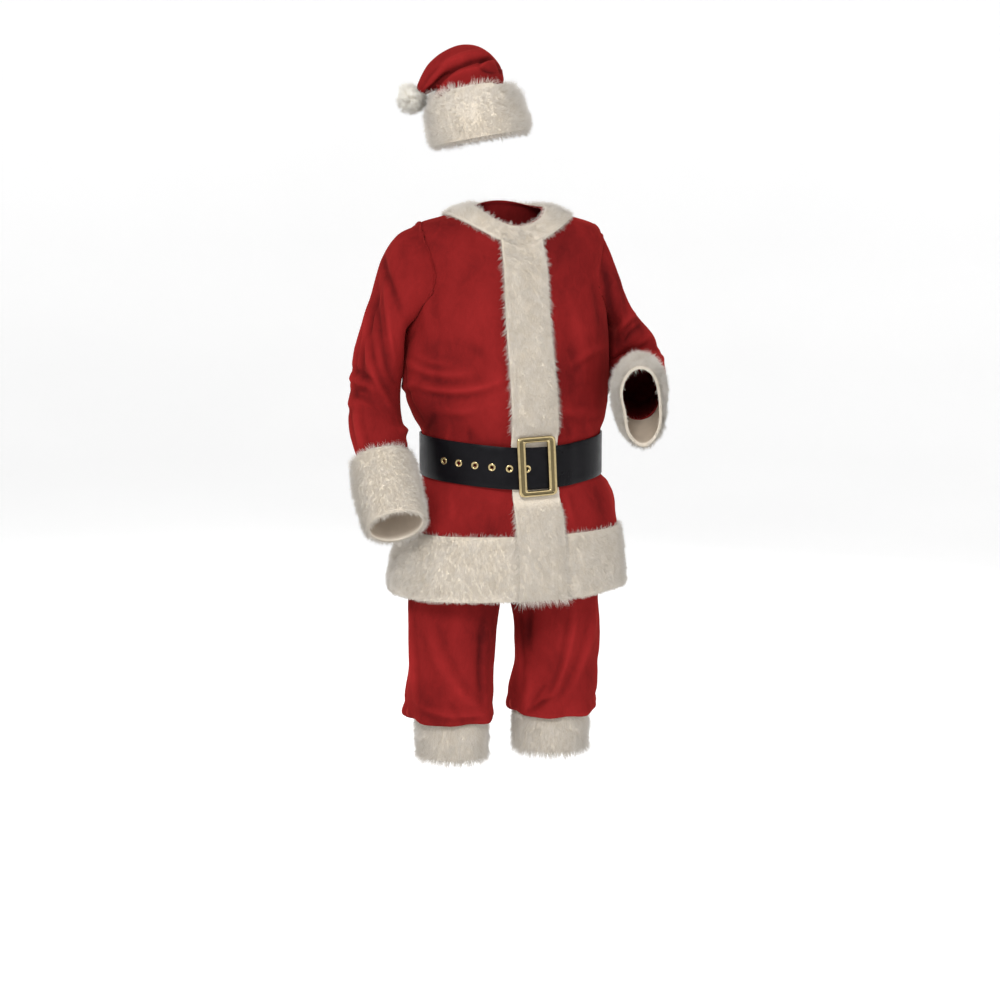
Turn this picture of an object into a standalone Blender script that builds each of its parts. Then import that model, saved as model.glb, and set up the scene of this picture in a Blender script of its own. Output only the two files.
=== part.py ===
"""A velvet suit trimmed with plush: belted jacket, trousers and cap, hollow, as they are worn.

The wearer would face -Y, so the suit's right side is at -X. The origin is the middle of the base
of the neck, where the jacket's collar lies. Metres, +Z up. Angles are in degrees round the body,
from 0 at the middle of the front to 90 at the left side and 180 at the middle of the back.
"""
import math
from collections import namedtuple

import bmesh
import bpy
from mathutils import Matrix, Vector

SUIT = "santa_suit"

# ---- Driving dimensions, metres ----
CLOTH = 0.0025                # wall of the velvet with its backing
SEAM = 0.0003                 # gap between sewn pieces
BODY_POWER = 2.25             # a body is a little squarer than an ellipse

ARMHOLE_SPREAD = 20.0         # half the armhole's width, degrees round the body
ARMHOLE_ROUNDING = 0.6
ARMHOLE_SECTIONS = 2          # the armhole runs over two rows of the jacket's table
SLEEVE_LIFT = 0.0006          # the sleeve's head stands just outside the armhole's edge

BAND_PILE = 0.0125            # the front band's thickness
BAND_PILE_BELTED = 0.0035     # where the belt presses it
BAND_PRESS_BELOW = 0.75       # the pressing starts this share of the way up from the skirt
BAND_PRESS_ABOVE = 0.2        # and ends this share of the way up from the tuck
BAND_EDGE = 0.45              # a pile's thickness at its free edges, as a share
BAND_COLUMNS = 3
FRONT_COLUMNS = 10
BACK_COLUMNS = 18

HEM_INSIDE = 0.004            # the hem band reaches this far inside the velvet's face
HEM_PILE = 0.0125
HEM_EDGE = 0.6
COLLAR_PILE = 0.011
COLLAR_EDGE = 0.5
COLLAR_LEVEL = 0.5            # the collar's edge, as a share of the way from shoulder to neck
COLLAR_CLEARANCE = 0.004

BELT_HEIGHT = 0.088
BELT_THICKNESS = 0.0035
BELT_FRONT_Z = -0.542
BELT_SIDE_Z = -0.525
BELT_BACK_Z = -0.523
BELT_HALF_WIDTH = 0.194
BELT_LEAN = 0.008             # the waist stands a little to the left
BELT_FRONT = 0.155
BELT_BACK = 0.131
BELT_CLEARANCE = 0.0008
BELT_OVER_BAND = 0.0038       # the strap stands off further over the front band
BELT_BAND_RIGHT = (-33.0, -21.0)    # degrees over which it rises, and comes down again
BELT_BAND_LEFT = (25.0, 37.0)
BELT_LAYER_GAP = 0.0006
BELT_OVERLAP = (0.16, 0.06)   # distances from the buckle where the outer end leaves the velvet
BELT_STEP = 0.0175            # length of one flat of the strap
BELT_START = -0.038           # the strap's fixed end, under the overlap
BELT_TIP_FLATS = 3            # flats from the first eyelet's to the tip

EYELETS = 6
EYELET_FIRST = -0.017         # the eyelet nearest the buckle
EYELET_SPACING = 2 * BELT_STEP
EYELET_HOLE = 0.0042          # radius of the hole in the strap
EYELET_CUT = 0.011            # length of the hole's cutter
EYELET_RING = 0.0057
EYELET_WIRE = 0.0018
EYELET_FLATNESS = 0.5         # an eyelet is half as high as its wire is wide

BUCKLE_MIDDLE = 0.0045
BUCKLE_HALF_WIDTH = 0.040
BUCKLE_HALF_HEIGHT = 0.0625
BUCKLE_SIDE_MEMBER = 0.016
BUCKLE_END_MEMBER = 0.012
BUCKLE_THICKNESS = 0.006
BUCKLE_TILT = 2.5
BUCKLE_CLEARANCE = 0.0026     # the buckle lies on an eyelet
BUCKLE_CORNER = 0.010
BUCKLE_STEP = 0.022           # longest flat of the frame
# across a member: share of its width from the outer edge, and share of its thickness
BUCKLE_PROFILE = ((0.0, 0.0), (0.0, 0.55), (0.22, 1.0), (0.78, 1.0), (1.0, 0.55), (1.0, 0.0))

CUFF_PILE = 0.013             # a sleeve's cuff
LEG_CUFF_PILE = 0.012
WAISTBAND_WALL = 0.003

CAP_X = -0.060                # the head leans to the wearer's right
CAP_TURN = -18.0              # and is turned that way
CAP_BRIM_PILE = 0.024
POMPOM_RADIUS = 0.031
SHARP_ANGLE = 40.0            # edges sharper than this aren't shaded smooth

VELVET_RED = (0.33, 0.012, 0.016, 1.0)
PLUSH_CREAM = (0.82, 0.76, 0.66, 1.0)
BELT_BLACK = (0.012, 0.011, 0.012, 1.0)
PALE_BRASS = (0.70, 0.55, 0.28, 1.0)

# ---- Sections of the jacket's outer face, from the hem up ----
# lean moves a section to the left; the front band's middle is band_shift from its middle
Section = namedtuple("Section", "name steps z_front z_side z_back half_width front back lean"
                                " band_shift band_half")
JACKET = [
    Section("hem", 3, -0.818, -0.818, -0.818, 0.2530, 0.191, 0.170, 0.000, 0.010, 0.0560),
    Section("hem_top", 2, -0.682, -0.682, -0.682, 0.2290, 0.176, 0.152, 0.000, 0.010, 0.0545),
    Section("skirt", 2, -0.628, -0.616, -0.616, 0.2110, 0.166, 0.142, 0.004, 0.006, 0.0535),
    Section("belt_low", 2, -0.595, -0.577, -0.575, 0.1940, 0.155, 0.131, 0.008, 0.002, 0.0525),
    Section("belt_high", 1, -0.488, -0.474, -0.472, 0.1940, 0.155, 0.131, 0.008, 0.002, 0.0520),
    Section("tuck", 1, -0.468, -0.458, -0.457, 0.2070, 0.162, 0.138, 0.006, 0.004, 0.0520),
    Section("blouse", 2, -0.436, -0.423, -0.421, 0.2185, 0.168, 0.143, 0.002, 0.006, 0.0515),
    Section("belly", 2, -0.385, -0.380, -0.380, 0.2235, 0.165, 0.144, 0.000, 0.006, 0.0510),
    Section("chest", 2, -0.318, -0.313, -0.313, 0.2260, 0.156, 0.141, 0.000, 0.003, 0.0500),
    Section("underarm", 5, -0.257, -0.249, -0.249, 0.2230, 0.146, 0.138, 0.000, 0.000, 0.0490),
    Section("armhole", 5, -0.192, -0.150, -0.180, 0.2060, 0.134, 0.126, 0.000, 0.000, 0.0485),
    Section("shoulder", 4, -0.133, -0.051, -0.118, 0.1960, 0.122, 0.112, 0.000, 0.000, 0.0480),
    Section("neck", 0, -0.045, -0.002, 0.006, 0.0780, 0.080, 0.064, 0.000, 0.000, 0.0460),
]
SECTION_NAMES = [section.name for section in JACKET]

# ---- The jacket's largest folds: soft ridges (rise above 0) and troughs, in metres and degrees ----
Fold = namedtuple("Fold", "name angle drift z_top z_bottom width rise")
JACKET_FOLDS = [
    Fold("right chest drape", -38, -12, -0.21, -0.462, 9, 0.0055),
    Fold("right chest hollow", -58, -6, -0.27, -0.462, 8, -0.0060),
    Fold("right underarm ridge", -76, 2, -0.30, -0.462, 8, 0.0050),
    Fold("left chest drape", 42, 10, -0.23, -0.462, 9, 0.0050),
    Fold("left chest hollow", 62, 4, -0.26, -0.462, 8, -0.0055),
    Fold("left underarm ridge", 80, 0, -0.29, -0.451, 8, 0.0045),
    Fold("right belt pleat", -47, 2, -0.41, -0.487, 7, 0.0050),
    Fold("left belt pleat", 50, -3, -0.42, -0.487, 7, 0.0045),
    Fold("back left drape", 128, 8, -0.21, -0.462, 10, 0.0060),
    Fold("back middle hollow", 176, -4, -0.17, -0.462, 10, -0.0070),
    Fold("back right drape", 226, -10, -0.19, -0.462, 10, 0.0060),
    Fold("back left hollow", 105, 3, -0.27, -0.462, 8, -0.0050),
    Fold("back right hollow", 254, -3, -0.28, -0.462, 8, -0.0050),
    Fold("right front flute", -52, -5, -0.61, -0.923, 9, 0.0065),
    Fold("right side hollow", -78, -4, -0.61, -0.923, 9, -0.0060),
    Fold("left front flute", 58, 4, -0.61, -0.923, 9, 0.0060),
    Fold("left side hollow", 82, 3, -0.61, -0.923, 8, -0.0055),
    Fold("back left flute", 118, 4, -0.61, -0.923, 10, 0.0070),
    Fold("back left dip", 145, 3, -0.62, -0.923, 9, -0.0065),
    Fold("back middle flute", 172, 2, -0.61, -0.923, 10, 0.0060),
    Fold("back right dip", 202, -3, -0.62, -0.923, 9, -0.0065),
    Fold("back right flute", 234, -5, -0.61, -0.923, 10, 0.0070),
]
BELT_FADE = (0.060, 0.095)    # no fold nearer to the belt's middle than this; full folds beyond
FOLD_RISES = (0.0, 0.3)       # shares of a fold's length over which it rises and dies away
FOLD_DIES = (0.8, 1.0)

# ---- Rings of each sleeve, from the armhole down. "out" is the distance from the middle plane,
# drop turns the sleeve from straight out (0) to straight down (90), pitch lifts it forward,
# yaw turns it inward; wide is across the arm, deep from front to back ----
Ring = namedtuple("Ring", "name out fore z drop pitch yaw wide deep pinch")
RIGHT_SLEEVE = [
    Ring("armhole", 0.2100, 0.000, -0.1510, 3, 0, 0, 0.0990, 0.070, 0),
    Ring("cap", 0.2290, -0.003, -0.1660, 0, 0, 0, 0.1010, 0.073, 0),
    Ring("upper", 0.2470, -0.004, -0.1975, 8, 0, 0, 0.0890, 0.071, 0),
    Ring("biceps", 0.2610, -0.002, -0.2440, 24, 0, 0, 0.0680, 0.068, 0),
    Ring("lower", 0.2725, 0.004, -0.3000, 52, 0, 0, 0.0530, 0.065, 0),
    Ring("above elbow", 0.2845, 0.014, -0.3600, 82, 0, 0, 0.0525, 0.062, 0),
    Ring("elbow", 0.2880, 0.020, -0.4150, 90, 12, 0, 0.0555, 0.062, 0),
    Ring("forearm", 0.2890, 0.000, -0.4660, 90, 28, 0, 0.0570, 0.062, 0),
    Ring("wrist", 0.2880, -0.058, -0.5250, 90, 37, 0, 0.0560, 0.061, 0),
]
LEFT_SLEEVE = [
    Ring("armhole", 0.2100, 0.000, -0.1510, 3, 0, 0, 0.0990, 0.070, 0),
    Ring("cap", 0.2250, 0.000, -0.1680, -4, 0, 0, 0.0960, 0.073, 0),
    Ring("upper", 0.2375, 0.004, -0.2060, -1, 0, 0, 0.0770, 0.073, 0),
    Ring("biceps", 0.2500, 0.012, -0.2500, 14, 0, 0, 0.0590, 0.072, 0),
    Ring("lower", 0.2710, 0.021, -0.2920, 46, 5, 0, 0.0550, 0.070, 0),
    Ring("above elbow", 0.2920, 0.029, -0.3350, 80, 25, 0, 0.0600, 0.070, 0),
    Ring("elbow", 0.2960, 0.008, -0.3620, 90, 52, 3, 0.0620, 0.070, 0),
    Ring("forearm", 0.2850, -0.055, -0.3750, 90, 75, 12, 0.0590, 0.071, 0),
    Ring("wrist", 0.2400, -0.160, -0.3810, 90, 80, 16, 0.0550, 0.074, 0),
]
SLEEVE_COLUMNS = 20           # twice the rows of the armhole, so that the seam's points meet
SLEEVE_ROWS_PER_RING = 2
HEAD_TURN = 0.5               # rings over which the sleeve's head turns from the armhole's plane
RIGHT_CUFF = [
    Ring("sewn edge", 0.2880, -0.0583, -0.5255, 90, 37, 0, 0.0630, 0.068, 0),
    Ring("roll", 0.2880, -0.0760, -0.5490, 90, 37, 0, 0.0720, 0.076, 0),
    Ring("middle", 0.2880, -0.1050, -0.5870, 90, 38, 0, 0.0745, 0.078, 0),
    Ring("lower", 0.2870, -0.1400, -0.6310, 90, 39, 0, 0.0720, 0.076, 0.05),
    Ring("rim", 0.2860, -0.1560, -0.6510, 90, 39, 0, 0.0670, 0.072, 0.08),
]
LEFT_CUFF = [
    Ring("sewn edge", 0.2398, -0.1605, -0.3811, 90, 80, 16, 0.0620, 0.082, 0),
    Ring("roll", 0.2310, -0.1830, -0.3855, 90, 80, 16, 0.0650, 0.089, 0.05),
    Ring("middle", 0.2170, -0.2190, -0.3945, 90, 80, 16, 0.0640, 0.093, 0.18),
    Ring("lower", 0.2010, -0.2610, -0.4045, 90, 80, 16, 0.0620, 0.096, 0.34),
    Ring("rim", 0.1940, -0.2780, -0.4085, 90, 80, 16, 0.0580, 0.094, 0.42),
]
CUFF_COLUMNS = 20

# ---- Folds of the sleeves: ring number where a fold starts and ends, angle round the sleeve
# (0 front, 90 outside, 180 back, 270 inside) ----
SleeveFold = namedtuple("SleeveFold", "name start end angle drift width rise")
RIGHT_SLEEVE_FOLDS = [
    SleeveFold("long front ridge", 1.2, 5.2, 45, -28, 16, 0.0060),
    SleeveFold("long front trough", 1.4, 5.4, 85, -38, 16, -0.0060),
    SleeveFold("outer ridge", 1.8, 5.6, 118, -20, 16, 0.0055),
    SleeveFold("back trough", 1.6, 5.5, 165, -10, 20, -0.0060),
    SleeveFold("elbow crook", 5.2, 6.9, 350, 10, 34, -0.0075),
    SleeveFold("elbow roll", 6.2, 7.7, 20, 10, 36, 0.0045),
    SleeveFold("forearm trough", 6.3, 7.9, 110, 20, 20, -0.0050),
]
LEFT_SLEEVE_FOLDS = [
    SleeveFold("front ridge", 1.2, 4.0, 30, 20, 16, 0.0055),
    SleeveFold("outer trough", 1.6, 4.6, 75, 25, 16, -0.0060),
    SleeveFold("outer ridge", 2.4, 5.6, 118, 20, 18, 0.0060),
    SleeveFold("elbow crook", 4.2, 6.4, 5, 0, 34, -0.0070),
    SleeveFold("forearm top ridge", 5.6, 7.7, 50, 10, 20, 0.0045),
    SleeveFold("forearm side trough", 5.4, 7.8, 95, 20, 18, -0.0055),
    SleeveFold("back trough", 1.6, 4.6, 190, 10, 18, -0.0055),
]

# ---- Sections of the trousers, from the waist down; split 0 is one tube, 1 is two legs ----
# the waist fills the jacket where the belt draws it in, and shares its lean
LegSection = namedtuple("LegSection", "name steps z half_width front back lean split right_out left_out"
                                      " wide deep fore")
TROUSERS = [
    LegSection("waist", 2, -0.5236, 0.1876, 0.1494, 0.1254, 0.008, 0, 0.104, 0.104, 0.1030, 0.115, 0),
    LegSection("hip", 2, -0.616, 0.186, 0.146, 0.127, 0.005, 0, 0.104, 0.104, 0.1030, 0.115, 0),
    LegSection("seat", 3, -0.698, 0.197, 0.147, 0.142, 0.001, 0.08, 0.104, 0.104, 0.1032, 0.115, 0),
    LegSection("fork", 2, -0.775, 0.200, 0.145, 0.142, 0, 1, 0.107, 0.104, 0.1032, 0.112, 0),
    LegSection("thigh", 4, -0.852, 0.200, 0.145, 0.142, 0, 1, 0.114, 0.105, 0.1020, 0.106, 0),
    LegSection("knee", 2, -0.980, 0.200, 0.145, 0.142, 0, 1, 0.119, 0.102, 0.0965, 0.101, -0.004),
    LegSection("fullness", 2, -1.062, 0.200, 0.145, 0.142, 0, 1, 0.121, 0.0995, 0.0940, 0.099, 0),
    LegSection("ankle", 0, -1.095, 0.200, 0.145, 0.142, 0, 1, 0.121, 0.0990, 0.0805, 0.084, 0),
]
LEG_COLUMNS = 7
WAISTBAND_TOP = -0.486
WAISTBAND_COLUMNS = 32
LegFold = namedtuple("LegFold", "name angle drift z_top z_bottom width rise")
RIGHT_LEG_FOLDS = [
    LegFold("front trough", 95, -30, -0.82, -1.057, 20, -0.0060),
    LegFold("front ridge", 130, -35, -0.82, -1.057, 18, 0.0060),
    LegFold("outer trough", 165, -20, -0.84, -1.067, 18, -0.0050),
    LegFold("back ridge", 250, 20, -0.82, -1.057, 22, 0.0060),
    LegFold("back trough", 290, 20, -0.86, -1.067, 20, -0.0060),
]
LEFT_LEG_FOLDS = [
    LegFold("front trough", 120, -50, -0.82, -1.067, 18, -0.0065),
    LegFold("front ridge", 150, -50, -0.83, -1.067, 16, 0.0060),
    LegFold("inner ridge", 55, -10, -0.88, -1.067, 18, 0.0045),
    LegFold("back ridge", 235, 15, -0.82, -1.057, 22, 0.0060),
    LegFold("back trough", 285, 15, -0.86, -1.067, 20, -0.0060),
]
LegCuffRow = namedtuple("LegCuffRow", "name z grow")
LEG_CUFF_ROWS = [
    LegCuffRow("sewn edge", -1.0953, 0.0030),
    LegCuffRow("roll", -1.1080, 0.0090),
    LegCuffRow("middle", -1.1400, 0.0110),
    LegCuffRow("lower", -1.1690, 0.0090),
    LegCuffRow("rim", -1.1830, 0.0040),
]

# ---- Rings of the cap, in the head's own frame: across is to the wearer's left ----
CapRing = namedtuple("CapRing", "name across z tilt wide deep")
CROWN = [
    CapRing("brim seam", -0.0080, 0.2450, 9, 0.0930, 0.105),
    CapRing("rise", -0.0200, 0.2600, 13, 0.0750, 0.095),
    CapRing("shoulder", -0.0280, 0.2750, 23, 0.0680, 0.084),
    CapRing("peak", -0.0390, 0.2870, 40, 0.0590, 0.071),
    CapRing("turn", -0.0560, 0.2920, 61, 0.0470, 0.058),
    CapRing("fall", -0.0780, 0.2850, 81, 0.0350, 0.045),
    CapRing("tail", -0.1000, 0.2690, 101, 0.0250, 0.032),
    CapRing("point", -0.1155, 0.2540, 120, 0.0160, 0.021),
    CapRing("tip", -0.1235, 0.2465, 132, 0.0080, 0.011),
]
CROWN_COLUMNS = 20
CROWN_ROWS_PER_RING = 2
CROWN_CREASE_RINGS = (0.6, 2.6)
CROWN_CREASE_DEPTH = 0.010
CROWN_CREASE_ANGLE = 330.0
CROWN_CREASE_WIDTH = 50.0
BRIM = [
    CapRing("lower edge", 0.0065, 0.1380, 10, 0.1010, 0.116),
    CapRing("lower roll", 0.0050, 0.1510, 10, 0.1090, 0.123),
    CapRing("middle", 0.0005, 0.1910, 10, 0.1120, 0.126),
    CapRing("upper roll", -0.0050, 0.2320, 10, 0.1090, 0.122),
    CapRing("upper edge", -0.0077, 0.2444, 9, 0.1000, 0.113),
]
BRIM_COLUMNS = 24
POMPOM_ACROSS = -0.1436
POMPOM_Z = 0.2225


# ---- Numbers ----
def smooth(value, low, high):
    """0 below low, 1 above high, and a soft step between."""
    share = min(1.0, max(0.0, (value - low) / (high - low)))
    return share * share * (3.0 - 2.0 * share)


def between_rows(rows, place):
    """The numbers of a table's row at a fractional place, on a smooth curve through the rows."""
    index = min(int(place), len(rows) - 2)
    share = place - index
    before = rows[max(index - 1, 0)]
    first = rows[index]
    second = rows[index + 1]
    after = rows[min(index + 2, len(rows) - 1)]
    values = []
    for a, b, c, d in zip(before, first, second, after):
        if isinstance(b, str):
            values.append(b)
            continue
        slope_b = (c - a) / 2.0
        slope_c = (d - b) / 2.0
        square = share * share
        cube = square * share
        values.append((2 * cube - 3 * square + 1) * b + (cube - 2 * square + share) * slope_b
                      + (3 * square - 2 * cube) * c + (cube - square) * slope_c)
    return type(first)(*values)


def angle_apart(angle, other):
    """The signed difference of two angles, from -180 to 180."""
    return (angle - other + 180.0) % 360.0 - 180.0


def bump(offset, width):
    """A soft ridge's height at an offset from its line."""
    return math.exp(-(offset / width) ** 2)


def polar_radius(angle, half_width, depth, power=BODY_POWER):
    """Distance from the axis to a rounded outline, at an angle from its front or back."""
    fore = abs(math.cos(math.radians(angle))) / depth
    side = abs(math.sin(math.radians(angle))) / half_width
    return (fore ** power + side ** power) ** (-1.0 / power)


# ---- The jacket's outer face ----
def level_of(name, share=0):
    """The place of a named section in the jacket's table."""
    return SECTION_NAMES.index(name) + share


def jacket_levels(first, last):
    """The rows of walls between two named sections."""
    levels = []
    for index in range(level_of(first), level_of(last)):
        steps = JACKET[index].steps
        levels += [index + step / steps for step in range(steps)]
    return levels + [float(level_of(last))]


def jacket_fold(angle, z):
    """How far the folds push the jacket's face out."""
    belt_distance = abs(z - BELT_SIDE_Z)
    height = 0.0
    for fold in JACKET_FOLDS:
        share = (fold.z_top - z) / (fold.z_top - fold.z_bottom)
        if not 0.0 < share < 1.0:
            continue
        line = fold.angle + fold.drift * share
        ends = smooth(share, *FOLD_RISES) * (1.0 - smooth(share, *FOLD_DIES))
        height += fold.rise * bump(angle_apart(angle, line), fold.width) * ends
    return height * smooth(belt_distance, *BELT_FADE)


def jacket_smooth_point(angle, level):
    """A point of the jacket's face before its folds."""
    section = between_rows(JACKET, level)
    turn = math.radians(angle)
    facing_front = math.cos(turn) > 0.0
    depth = section.front if facing_front else section.back
    middle_z = section.z_front if facing_front else section.z_back
    radius = polar_radius(angle, section.half_width, depth)
    z = section.z_side * math.sin(turn) ** 2 + middle_z * math.cos(turn) ** 2
    return Vector((section.lean + radius * math.sin(turn), -radius * math.cos(turn), z))


def jacket_normal(angle, level):
    """The outward direction of the jacket's face."""
    turn_step = 0.5
    level_step = 0.01
    top = float(len(JACKET) - 1)
    above = jacket_smooth_point(angle, min(level + level_step, top))
    below = jacket_smooth_point(angle, max(level - level_step, 0.0))
    along = jacket_smooth_point(angle + turn_step, level) - jacket_smooth_point(angle - turn_step, level)
    return along.cross(above - below).normalized()


def jacket_point(angle, level, out=0.0):
    """A point at a distance outside the jacket's face."""
    base = jacket_smooth_point(angle, level)
    return base + jacket_normal(angle, level) * (out + jacket_fold(angle, base.z))


def seam_angle(level):
    """Half the seam gap, in degrees at the middle of the front and at the side."""
    section = between_rows(JACKET, level)
    return (math.degrees(SEAM / 2.0 / section.front), math.degrees(SEAM / 2.0 / section.half_width))


def armhole_angle(level):
    """Half the armhole's spread at a level; 0 below the underarm and over the shoulder."""
    share = (level - level_of("underarm")) / ARMHOLE_SECTIONS
    if not 0.0 < share < 1.0:
        return 0.0
    return ARMHOLE_SPREAD * math.sin(math.pi * share) ** ARMHOLE_ROUNDING


def band_edges(level):
    """The front band's right and left edges, in degrees."""
    section = between_rows(JACKET, level)
    right = math.degrees(math.atan2(section.band_shift - section.band_half, section.front))
    left = math.degrees(math.atan2(section.band_shift + section.band_half, section.front))
    return right, left


def front_angles(level, side):
    """The columns of one front, from the middle to the side seam; side is 1 left, -1 right."""
    front_gap, side_gap = seam_angle(level)
    right, left = band_edges(level)
    band_edge = left if side > 0 else -right
    side_edge = 90.0 - max(armhole_angle(level), side_gap)
    angles = []
    for column in range(FRONT_COLUMNS + 1):
        if column <= BAND_COLUMNS:
            angle = front_gap + (band_edge - front_gap) * column / BAND_COLUMNS
        else:
            share = (column - BAND_COLUMNS) / (FRONT_COLUMNS - BAND_COLUMNS)
            angle = band_edge + (side_edge - band_edge) * share
        angles.append(side * angle)
    return angles


def back_angles(level):
    """The columns of the back, from the left side seam to the right."""
    edge = 90.0 + max(armhole_angle(level), seam_angle(level)[1])
    return [edge + (360.0 - 2.0 * edge) * column / BACK_COLUMNS for column in range(BACK_COLUMNS + 1)]


# ---- Making solids ----
def new_material(name, colour, roughness, metallic=0.0, sheen=0.0):
    """A plain Principled material."""
    material = bpy.data.materials.new(name)
    material.use_nodes = True
    shader = material.node_tree.nodes["Principled BSDF"]
    shader.inputs["Base Color"].default_value = colour
    shader.inputs["Roughness"].default_value = roughness
    shader.inputs["Metallic"].default_value = metallic
    shader.inputs["Sheen Weight"].default_value = sheen
    return material


def add_object(name, mesh_builder, material, collection):
    """Turn a bmesh into a named object of the suit, shaded smooth but for its edges."""
    bmesh.ops.recalc_face_normals(mesh_builder, faces=mesh_builder.faces)
    mesh = bpy.data.meshes.new(name)
    mesh_builder.to_mesh(mesh)
    mesh_builder.free()
    mesh.materials.append(material)
    mesh.shade_smooth()
    mesh.set_sharp_from_angle(angle=math.radians(SHARP_ANGLE))
    thing = bpy.data.objects.new(name, mesh)
    collection.objects.link(thing)
    return thing


def quad(mesh_builder, a, b, c, d):
    """Two triangles, always split the same way, so that stacked walls stay parallel."""
    mesh_builder.faces.new((a, b, c))
    mesh_builder.faces.new((a, c, d))


def wall(outer, inner, around=False):
    """A closed wall between two matching grids of points; around joins the ends of each row."""
    built = bmesh.new()
    outer_verts = [[built.verts.new(point) for point in row] for row in outer]
    inner_verts = [[built.verts.new(point) for point in row] for row in inner]
    rows = len(outer)
    columns = len(outer[0])
    spans = [(j, (j + 1) % columns) for j in range(columns if around else columns - 1)]
    for i in range(rows - 1):
        for j, k in spans:
            quad(built, outer_verts[i][j], outer_verts[i][k], outer_verts[i + 1][k], outer_verts[i + 1][j])
            quad(built, inner_verts[i][j], inner_verts[i + 1][j], inner_verts[i + 1][k], inner_verts[i][k])
    for j, k in spans:
        quad(built, inner_verts[0][j], inner_verts[0][k], outer_verts[0][k], outer_verts[0][j])
        quad(built, outer_verts[-1][j], outer_verts[-1][k], inner_verts[-1][k], inner_verts[-1][j])
    if not around:
        for i in range(rows - 1):
            quad(built, inner_verts[i][0], outer_verts[i][0], outer_verts[i + 1][0], inner_verts[i + 1][0])
            quad(built, outer_verts[i][-1], inner_verts[i][-1],
                 inner_verts[i + 1][-1], outer_verts[i + 1][-1])
    return built


def rounded(outer, inner, edge_share, ends=False):
    """Draw a pile's outer points in along its free edges, so that it is thinner there."""
    shaped = []
    last = len(outer) - 1
    for i, (outer_row, inner_row) in enumerate(zip(outer, inner)):
        row_share = edge_share if i in (0, last) else 1.0
        row = []
        for j, (high, low) in enumerate(zip(outer_row, inner_row)):
            at_end = ends and j in (0, len(outer_row) - 1)
            share = min(row_share, edge_share if at_end else 1.0)
            row.append(low.lerp(high, share))
        shaped.append(row)
    return shaped


# ---- The jacket's pieces ----
def jacket_panel(name, columns_at, material, collection):
    """One velvet piece of the body, from the hem band to the neck."""
    levels = jacket_levels("hem_top", "neck")
    outer = [[jacket_point(angle, level) for angle in columns_at(level)] for level in levels]
    inner = [[jacket_point(angle, level, -CLOTH) for angle in columns_at(level)] for level in levels]
    return add_object(name, wall(outer, inner), material, collection)


def make_body(material, collection):
    """The right front, the left front and the back."""
    jacket_panel("jacket_front_right", lambda level: front_angles(level, -1), material, collection)
    jacket_panel("jacket_front_left", lambda level: front_angles(level, 1), material, collection)
    jacket_panel("jacket_back", back_angles, material, collection)


def band_angles(level):
    """The front band's columns, from its right edge to its left."""
    right = front_angles(level, -1)[:BAND_COLUMNS + 1]
    left = front_angles(level, 1)[:BAND_COLUMNS + 1]
    return [angle for angle in reversed(right)][:-1] + [0.0] + left[1:]


def band_pile(level):
    """The front band's thickness, which the belt presses flat."""
    inside = smooth(level, level_of("skirt"), level_of("skirt", BAND_PRESS_BELOW)) \
        * (1.0 - smooth(level, level_of("belt_high"), level_of("tuck", BAND_PRESS_ABOVE)))
    return BAND_PILE + (BAND_PILE_BELTED - BAND_PILE) * inside


def make_front_band(material, collection):
    """The plush band down the middle, from the collar to the hem."""
    collar = level_of("shoulder", COLLAR_LEVEL)
    levels = [level for level in jacket_levels("hem", "neck") if level < collar - COLLAR_CLEARANCE]
    levels.append(collar - COLLAR_CLEARANCE)
    inner = [[jacket_point(angle, level, SEAM) for angle in band_angles(level)] for level in levels]
    outer = [[jacket_point(angle, level, SEAM + band_pile(level)) for angle in band_angles(level)]
             for level in levels]
    built = wall(rounded(outer, inner, BAND_EDGE, ends=True), inner)
    add_object("front_band", built, material, collection)


def hem_angles(level):
    """The hem band's columns, from the front band's left edge round to its right edge."""
    gap = 2.0 * seam_angle(level)[0]
    left = front_angles(level, 1)[BAND_COLUMNS:]
    right = front_angles(level, -1)[BAND_COLUMNS:]
    back = back_angles(level)
    angles = [left[0] + gap] + left[1:-1] + back + [360.0 + angle for angle in reversed(right)][1:]
    angles[-1] -= gap
    return angles


def make_hem_band(material, collection):
    """The plush band round the hem, open at the front where the front band runs down."""
    levels = jacket_levels("hem", "hem_top")
    rise = (JACKET[2].z_side - JACKET[0].z_side) / 2.0    # of the table's curve at the band's top
    levels[-1] -= SEAM / rise
    inner = [[jacket_point(angle, level, -HEM_INSIDE) for angle in hem_angles(level)] for level in levels]
    outer = [[jacket_point(angle, level, HEM_PILE) for angle in hem_angles(level)] for level in levels]
    add_object("hem_band", wall(rounded(outer, inner, HEM_EDGE), inner), material, collection)


def make_collar(material, collection):
    """The plain plush collar, lying round the neck and open at the front."""
    start = level_of("shoulder", COLLAR_LEVEL)
    levels = [level for level in jacket_levels("shoulder", "neck") if level >= start]

    def angles_at(level):
        left = front_angles(level, 1)
        right = front_angles(level, -1)
        return left + back_angles(level)[1:-1] + [360.0 + angle for angle in reversed(right)]

    inner = [[jacket_point(angle, level, SEAM) for angle in angles_at(level)] for level in levels]
    outer = [[jacket_point(angle, level, SEAM + COLLAR_PILE) for angle in angles_at(level)]
             for level in levels]
    add_object("collar", wall(rounded(outer, inner, COLLAR_EDGE), inner), material, collection)


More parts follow.
